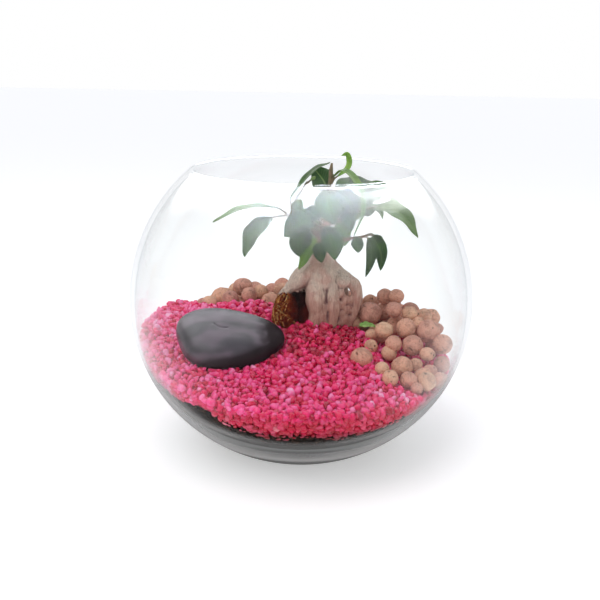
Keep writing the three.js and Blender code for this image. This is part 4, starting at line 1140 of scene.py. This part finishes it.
def bed_chip_centres(sink, draws, under_heap=False):
    """Places for a layer of chips over the bare bed, or over the bed under the clay heap."""
    step, row, jitter = CHIP["spacing"], CHIP["row"], CHIP["jitter"]
    rows = int(2 * EQUATOR_RADIUS / step)
    i, j = np.meshgrid(np.arange(rows), np.arange(int(rows / row)))
    x = (i + 0.5 * (j % 2)) * step - EQUATOR_RADIUS + draws.uniform(-jitter, jitter, i.shape) * step
    y = j * step * row - EQUATOR_RADIUS + draws.uniform(-jitter, jitter, i.shape) * step
    x, y = x.ravel(), y.ravel()
    z = chip_height(x, y) - sink + draws.uniform(-0.7, 0.7, len(x))
    depth = inside_heap(x, y)
    inside = depth > CHIP["past_edge"] if under_heap else depth < CHIP["past_edge"]
    inside &= np.hypot(x, y) < shown_radius(z) - 2.4
    return np.stack([x, y, z], axis=1)[inside]


def wall_chip_centres(draws):
    """Places for the chips that lie against the glass, down to a wavy edge over the soil."""
    step, jitter = CHIP["spacing"], CHIP["jitter"]
    around = int(2 * math.pi * 118 / step)
    k, level = np.meshgrid(np.arange(around), np.arange(0, 60, step * 0.82))
    angle = (k + draws.uniform(-jitter, jitter, k.shape)).ravel() * 2 * math.pi / around
    x, y = np.cos(angle), np.sin(angle)
    low = soil_height(108 * x, 108 * y) + 1.5 + 3 * np.sin(5 * angle) * np.sin(11 * angle + 1)
    z = low + level.ravel() + draws.uniform(-0.9, 0.9, len(angle))
    radius = shown_radius(z) - draws.uniform(1.7, 2.8, len(z))
    inside = z < gravel_height(radius * x, radius * y) + 0.5
    return np.stack([radius * x, radius * y, z], axis=1)[inside]


def clear_of_things(places):
    """True where a chip's centre lies in no pebble, root or trunk."""
    clear = np.ones(len(places), bool)
    local = (places - PEBBLE["centre"]) @ pebble_turn() / PEBBLE["half"]
    clear &= np.linalg.norm(local, axis=1) > 0.97
    for tuft in ROOT_TUFTS:
        clear &= np.linalg.norm((places - tuft["centre"]) / tuft["half"], axis=1) > 0.9
    for route in SHOWN_LIMBS.values():
        for x, y, z, r in route:
            clear &= np.linalg.norm(places - (x, y, z), axis=1) > r * 0.7
    for ball in loose_balls():
        clear &= np.linalg.norm(places - (ball["x"], ball["y"], ball["z"]), axis=1) > ball["r"] * 0.9
    return clear


def strewn(shape, places, template, draws):
    """Chips at the places. Those by the trunk are painted deeper, as shade, and those at the sides
    paler, as a painted reflection."""
    places = places[clear_of_things(places)]
    # Painted shade by the trunk and a painted reflection at the sides, on top of the worn tone.
    shade_by_trunk = mound(places[:, 0], places[:, 1], *PAINTED_SHADE_BY_TRUNK)
    reflection_aside = np.clip((np.abs(places[:, 0]) - 40) / 60, 0, 1)
    tone = WEAR_AND_PAINTED_LIGHT["usual"] + WEAR_AND_PAINTED_LIGHT["spread"] * draws.normal(size=len(places))
    tone = tone + WEAR_AND_PAINTED_LIGHT["patches"] * lumps(places, 12, 9)
    tone = np.clip(tone - WEAR_AND_PAINTED_LIGHT["shade_by_trunk"] * shade_by_trunk + WEAR_AND_PAINTED_LIGHT["reflection_aside"] * reflection_aside, 0.02, 1)
    sizes = CHIP["size"] + CHIP["spread"] * draws.uniform(-1, 1, len(places))
    kinds = draws.integers(0, CHIP["kinds"], len(places))
    for kind in range(CHIP["kinds"]):
        points, faces = template(draws)
        points = points * CHIP["stretch"]
        picked = np.flatnonzero(kinds == kind)
        spun = points @ turns(len(picked), draws)
        placed = places[picked][:, None] + sizes[picked][:, None, None] * spun
        for which, one in zip(picked, placed):
            shape.add(kept_in_glass(one), faces, tone=tone[which])


def bed_chips_shape(draws):
    """Chips over the bare bed, crumbs that fill in below them, and crumbs under the heap."""
    shape = Shape()
    strewn(shape, bed_chip_centres(0.1, draws), chip_template, draws)
    strewn(shape, bed_chip_centres(2.1, draws), crumb_template, draws)
    strewn(shape, bed_chip_centres(0.0, draws, under_heap=True), crumb_template, draws)
    return shape


def wall_chips_shape(draws):
    shape = Shape()
    strewn(shape, wall_chip_centres(draws), chip_template, draws)
    return shape


# ---------------------------------------------------------------- clay balls


def clay_ball(shape, ball, template, draws):
    """A lumpy, pitted ball, a little out of round."""
    points, faces = template
    seed = int(draws.integers(1, 9999))
    shift = draws.uniform(0, 50, 3)
    stretch = 1 + draws.uniform(-0.09, 0.09, 3)
    spun = points @ turns(1, draws)[0]
    relief = 0.055 * lumps(points * 2 + shift, 1.1, seed) + 0.024 * lumps(points * 2 + shift, 0.35, seed + 1)
    pits = np.maximum(lumps(points * 2 + shift, 0.28, seed + 2) - 0.55, 0) * 0.1
    radius = ball["r"] * (1 + relief - pits)
    placed = spun * stretch * radius[:, None] + (ball["x"], ball["y"], ball["z"])
    tone = draws.uniform(0.15, 0.8) + 0.1 * lumps(points, 0.6, seed)
    shape.add(kept_in_glass(placed, GAP), faces, tone=tone)


def heap_shape(draws):
    fine, plain = round_template(5), round_template(4)
    shape = Shape()
    for ball in heap_balls():
        clay_ball(shape, ball, fine if ball["face"] else plain, draws)
    return shape


# ---------------------------------------------------------------- pebble


def pebble_turn():
    x, y, z = (math.radians(PEBBLE[name]) for name in ("tilt_forward", "tilt_right", "turn"))
    forward, right, turn = (Euler(angles).to_matrix() for angles in ((x, 0, 0), (0, y, 0), (0, 0, z)))
    return np.array(forward @ right @ turn)


def pebble_shape():
    """A worn stone with a flat top, which is thicker at its left end."""
    points, faces = round_template(7)
    angle = np.arctan2(points[:, 1], points[:, 0])
    plan = 1 + PEBBLE["corner"] * np.cos(3 * angle + PEBBLE["corner_turn"]) * (1 - points[:, 2] ** 2)
    level = np.hypot(points[:, 0], points[:, 1])
    square = PEBBLE["square"]
    points = points * ((level**square + np.abs(points[:, 2]) ** square) ** (-1 / square))[:, None]
    local = points * PEBBLE["half"]
    local[:, :2] *= plan[:, None]
    local[:, 2] *= 1 - PEBBLE["taper"] * points[:, 0]
    local *= (1 + 0.01 * lumps(points, 0.9, 3))[:, None]
    (x0, y0), (x1, y1) = CREASE["from"], CREASE["to"]
    dx, dy = x1 - x0, y1 - y0
    x, y = local[:, 0] - x0, local[:, 1] - y0
    t = np.clip((x * dx + y * dy) / (dx**2 + dy**2), 0, 1)
    off = y - t * dy + CREASE["bow"] * np.sin(math.pi * t)
    cut = np.exp(-(off / CREASE["half_width"]) ** 2 - ((x - t * dx) / CREASE["fade"]) ** 2)
    local[:, 2] -= CREASE["depth"] * cut * (local[:, 2] > 0)
    shape = Shape()
    shape.add(local @ pebble_turn().T + PEBBLE["centre"], faces)
    return shape


# ---------------------------------------------------------------- trunk and roots


def trunk_shape():
    """The swollen trunk: its limbs melted together, with folds, wrinkles and knots."""
    rough = Shape()
    for name, route in SHOWN_LIMBS.items():
        ripple = 0 if name == "shoot" else 0.05
        rings = limb(route, 28, 10 * (len(route) - 1), ripple)
        rough.add(rings, skin(rings))
    ball = round_template(4)
    for seed, (x, y, z, r) in enumerate(ROOT_KNOBS):
        rough.add(*ellipsoid({"centre": (x, y, z), "half": (r, r, 1.15 * r)}, ball, 0.12, seed))
    points, normals, faces, edges = melted(rough, 0.8, 6)
    swell = np.clip((172 - points[:, 2]) / 20, 0, 1)
    upright = points * (1, 1, 0.16)
    wrinkled = points * (0.3, 0.3, 1.0)
    relief = 0.5 * lumps(points, 7, 1) + 0.3 * lumps(upright, 2.4, 2) + 0.16 * lumps(upright, 1.1, 3)
    # The skin wrinkles across where the arms leave the body, and again at the roots.
    bends = sum(np.clip(1 - np.abs(points[:, 2] - level) / 12, 0, 1) for level in (121, 98))
    relief += 0.35 * bends * lumps(wrinkled, 1.6, 4)
    points = points + normals * (relief * swell)[:, None]
    for x, low, high, half_width, depth in FRONT_SLITS:
        past_end = np.maximum(np.maximum(low - points[:, 2], points[:, 2] - high), 0)
        beside = points[:, 0] - x - 0.5 * np.sin(0.5 * points[:, 2])
        slit = np.exp(-(beside / half_width) ** 2 - (past_end / 1.5) ** 2) * (normals[:, 1] < -0.2)
        points[:, 1] += depth * slit
    shape = Shape()
    # tone holds how deep each point lies in a hollow, where the bark is painted darker as shade.
    shape.add(points, faces, tone=hollows(points, normals, edges))
    return shape


def ellipsoid(lump, template, relief, seed):
    """Points and triangles of a rough, rounded lump."""
    points, faces = template
    rough = 1 + relief * lumps(points * 3, 1.0, seed) + 0.5 * relief * lumps(points * 9, 1.0, seed + 1)
    return points * rough[:, None] * lump["half"] + lump["centre"], faces


def fibre(shape, points, radius, tone, sides=5):
    route = [(*point, radius * (1 - 0.4 * k / len(points))) for k, point in enumerate(points)]
    rings = limb(route, sides, 2 * (len(route) - 1))
    shape.add(rings, skin(rings), tone=tone)


def wandering(lump, draws, steps=9):
    """Points of a fibre that wanders down over a rounded mass of roots."""
    turn = draws.uniform(0, 2 * math.pi)
    drift = draws.uniform(-0.3, 0.3)
    height = draws.uniform(-0.2, 1.0)
    reach = draws.uniform(0.6, 2.2)
    depth = draws.uniform(0.94, 1.06)
    points = []
    for step in range(steps):
        tall = height - reach * step / steps * draws.uniform(0.75, 1.0)
        tall = max(min(tall, 0.98), -0.95)
        turn += drift + draws.uniform(-0.3, 0.3)
        flat = math.sqrt(1 - tall * tall)
        unit = np.array([flat * math.cos(turn), flat * math.sin(turn), tall])
        points.append(unit * depth * draws.uniform(0.97, 1.03) * lump["half"] + lump["centre"])
    return points


def roots_shape(draws):
    """A dark core under a mat of fibres, with straw-coloured strands in front. The tufts darken
    towards the hollow under the trunk, as painted shade.
    """
    shape = Shape()
    ball = round_template(5)
    shape.add(*ellipsoid(ROOT_CLUMP, ball, 0.03, 1), tone=0.15)
    for seed, tuft in enumerate(ROOT_TUFTS):
        # A tuft's tones run from its left side to its right, darkening towards the hollow as painted shade.
        left_tone, right_tone = tuft["tones"]
        points, faces = ellipsoid({**tuft, "half": [h * 0.9 for h in tuft["half"]]}, ball, 0.16, seed)
        specks = np.maximum(lumps(points, 1.5, seed) + 0.4 * lumps(points, 4, seed), 0)
        core_tone = np.clip(0.15 * right_tone + specks * (left_tone + right_tone) / 2, 0, 1)
        shape.add(points, faces, tone=core_tone)
        for _ in range(tuft["fibres"]):
            points = wandering(tuft, draws)
            across = np.clip(0.5 + 0.5 * (points[3][0] - tuft["centre"][0]) / tuft["half"][0], 0, 1)
            tone = (left_tone + (right_tone - left_tone) * across) * draws.uniform(0.1, 1.1)
            fibre(shape, points, draws.uniform(0.14, 0.38), tone)
    for points in STRAW_STRANDS:
        fibre(shape, points, 0.17, 0.9, 8)
    return shape


# ---------------------------------------------------------------- leaves


def blade(shape, leaf, stalked=True):
    """An arched blade folded along its midrib, with a wavy edge, behind its stalk."""
    route = leaf["route"]
    stalk = 1 / (len(route) - 1) if stalked else 0.0
    if stalked:
        stalk_route = [
            (*on_curve(route, t), BLADE["petiole"] * (1.15 - 0.35 * t / stalk))
            for t in np.linspace(0, stalk * 1.15, 5)]
        rings = limb(stalk_route, 10, 12)
        shape.add(rings, skin(rings), finish=1)
    first, last = (np.array(face, float) for face in leaf["faces"])
    steps, half_count = 34, 7
    across = np.sin(np.linspace(-1, 1, 2 * half_count + 1) * math.pi / 2)
    rings, places = [], []
    for share in np.linspace(0, 1, steps + 1):
        t = stalk + (1 - stalk) * share
        tangent = along_curve(route, t)
        face = first + (last - first) * t
        side = np.cross(face / np.linalg.norm(face), tangent)
        side /= np.linalg.norm(side)
        normal = np.cross(tangent, side)
        spread = leaf["width"] / 2 * math.sin(math.pi * share**0.85) ** 0.75 if 0 < share < 1 else 0
        half = max(spread, 0.25)
        wave = 0.045 * leaf["width"] * math.sin(17 * share + leaf["width"]) * np.abs(across) ** 3
        fold = (np.abs(across) ** 1.25 - 1) * BLADE["fold"] * spread
        thick = BLADE["thickness"] * np.clip(1.02 - np.abs(across) ** 6, 0.12, 1) / 2
        rib = 0.35 * np.exp(-(across / 0.09) ** 2) * (1 - 0.7 * share)
        lift = fold + wave * (spread > 0)
        middle = on_curve(route, t) + np.outer(across * half, side) + np.outer(lift, normal)
        upper = middle + np.outer(thick - 0.5 * rib, normal)
        lower = middle - np.outer(thick + rib, normal)
        rings.append(np.concatenate([upper[::-1], lower]))
        places.append(np.concatenate([
            np.stack([across[::-1], np.full(across.shape, share), np.ones(across.shape)], axis=1),
            np.stack([across, np.full(across.shape, share), np.zeros(across.shape)], axis=1)]))
    rings = np.array(rings)
    shape.add(rings, skin(rings), tone=leaf["young"], place=np.concatenate(places))


def spray_shape(parts):
    shape = Shape()
    for route in parts["stems"]:
        rings = limb(route, 12, 6 * (len(route) - 1))
        shape.add(rings, skin(rings), finish=1)
    for leaf in parts["leaves"]:
        blade(shape, leaf)
    return shape


def fallen_shape():
    route = [(x, y, float(bed_height(x, y)) + FALLEN_LEAF["rise"] + up) for x, y, up in FALLEN_LEAF["route"]]
    shape = Shape()
    blade(shape, {**FALLEN_LEAF, "route": route}, stalked=False)
    return shape


# ---------------------------------------------------------------- the pieces

draws = np.random.default_rng(8)
clay, leaf_finish, stem_finish = baked_clay(), ficus_leaf(), green_stem()

add_piece("glass_bowl_blown", bowl_shape(), [clear_glass()], ["glass_bowl"])
add_piece("soil_crumbled", soil_shape(draws), [potting_soil()], ["soil"])
add_piece("gravel_bed", gravel_core(), [gravel_shade()], ["pink_gravel"])
chip_dye = dyed_gravel()
add_piece("gravel_chips", bed_chips_shape(draws), [chip_dye])
add_piece("gravel_chips_at_glass", wall_chips_shape(draws), [chip_dye])
add_piece("clay_heap_balls", heap_shape(draws), [clay], ["clay_heap"])
for number, loose in enumerate(loose_balls(), 1):
    ball_shape = Shape()
    clay_ball(ball_shape, loose, round_template(5), draws)
    add_piece(f"clay_ball_loose_{number:02d}", ball_shape, [clay], [f"clay_ball_{number:02d}"])
add_piece("black_pebble_polished", pebble_shape(), [polished_stone()], ["black_pebble"])
add_piece("ficus_trunk_swollen", trunk_shape(), [old_bark()], ["ficus_trunk"])
add_piece("root_mat_fibres", roots_shape(draws), [root_fibre()], ["root_ball"])
for spray, parts in SPRAYS.items():
    add_piece(spray + "_veined", spray_shape(parts), [leaf_finish, stem_finish], [spray])
add_piece("fallen_leaf_veined", fallen_shape(), [leaf_finish, stem_finish], ["fallen_leaf"])

# ---------------------------------------------------------------- floor, light and camera


def pale_floor():
    shape = Shape()
    reach = 6000
    corners = [(-reach, -reach, 0), (reach, -reach, 0), (reach, reach, 0), (-reach, reach, 0)]
    shape.add(corners, [[(0, 1, 2, 3)]])
    finish = Finish("pale_floor")
    floor = put_in_scene("floor", shape.mesh("floor"))
    floor.data.materials.append(finish.done(
        Base_Color=(0.9, 0.9, 0.9, 1), Roughness=0.8, Emission_Color=(1, 1, 1, 1), Emission_Strength=0.42))


def studio_room():
    """White all round. Surfaces are lit by a dimmer room than the one that is seen, and a bright
    panel overhead shows in the glass alone."""
    room = Finish(bpy.data.worlds.new("white_room"))
    path = room.node("LightPath")
    aim = room.split(room.node("TexCoord").out("Generated"))
    panel = aim.out("Z").between(0.2, 0.6) * aim.out("Y").between(-0.85, -0.25)
    panel = panel * (1 - aim.out("X").abs().between(0.3, 0.8))
    in_glass = path.out("Is Singular Ray") * (1 - path.out("Ray Depth").between(2.2, 2.8))
    strength = 1.0 + 46.0 * panel * in_glass - 0.45 * path.out("Is Diffuse Ray")
    colour = room.blend(panel, (1, 1, 1, 1), (0.82, 0.87, 1, 1))
    background = room.node("Background", inputs={"Color": colour, "Strength": strength})
    bpy.context.scene.world = room.shown(background)


def softbox(name, place, aim, size, power, shine_only=False):
    lamp = bpy.data.lights.new(name, "AREA")
    lamp.shape, lamp.size, lamp.size_y, lamp.energy = "RECTANGLE", *size, power
    holder = put_in_scene(name, lamp)
    holder.location = Vector(place) * MM
    holder.rotation_mode = "QUATERNION"
    holder.rotation_quaternion = (Vector(place) - Vector(aim)).to_track_quat("Z", "Y")
    holder.visible_camera = holder.visible_transmission = False
    holder.visible_diffuse = not shine_only


CAMERA = {"place": (0, -625, 285.5), "aim": (-0.75, 0, 108.8), "roll": 1.1, "lens": 52.44}


def picture_camera():
    data = bpy.data.cameras.new("camera")
    data.lens, data.sensor_width = CAMERA["lens"], 36
    camera = put_in_scene("camera", data)
    place, aim = Vector(CAMERA["place"]), Vector(CAMERA["aim"])
    camera.location = place * MM
    camera.rotation_mode = "QUATERNION"
    roll = Quaternion((0, 0, 1), math.radians(CAMERA["roll"]))
    camera.rotation_quaternion = (place - aim).to_track_quat("Z", "Y") @ roll
    bpy.context.scene.camera = camera


pale_floor()
studio_room()
softbox("key_light", (-500, -500, 1300), (0, 0, 90), (1.0, 1.0), 7.0)
softbox("stone_shine", (0, 500, 1100), (0, 0, 90), (2.4, 1.2), 26.0, shine_only=True)
picture_camera()
bpy.context.scene.view_settings.view_transform = "Standard"
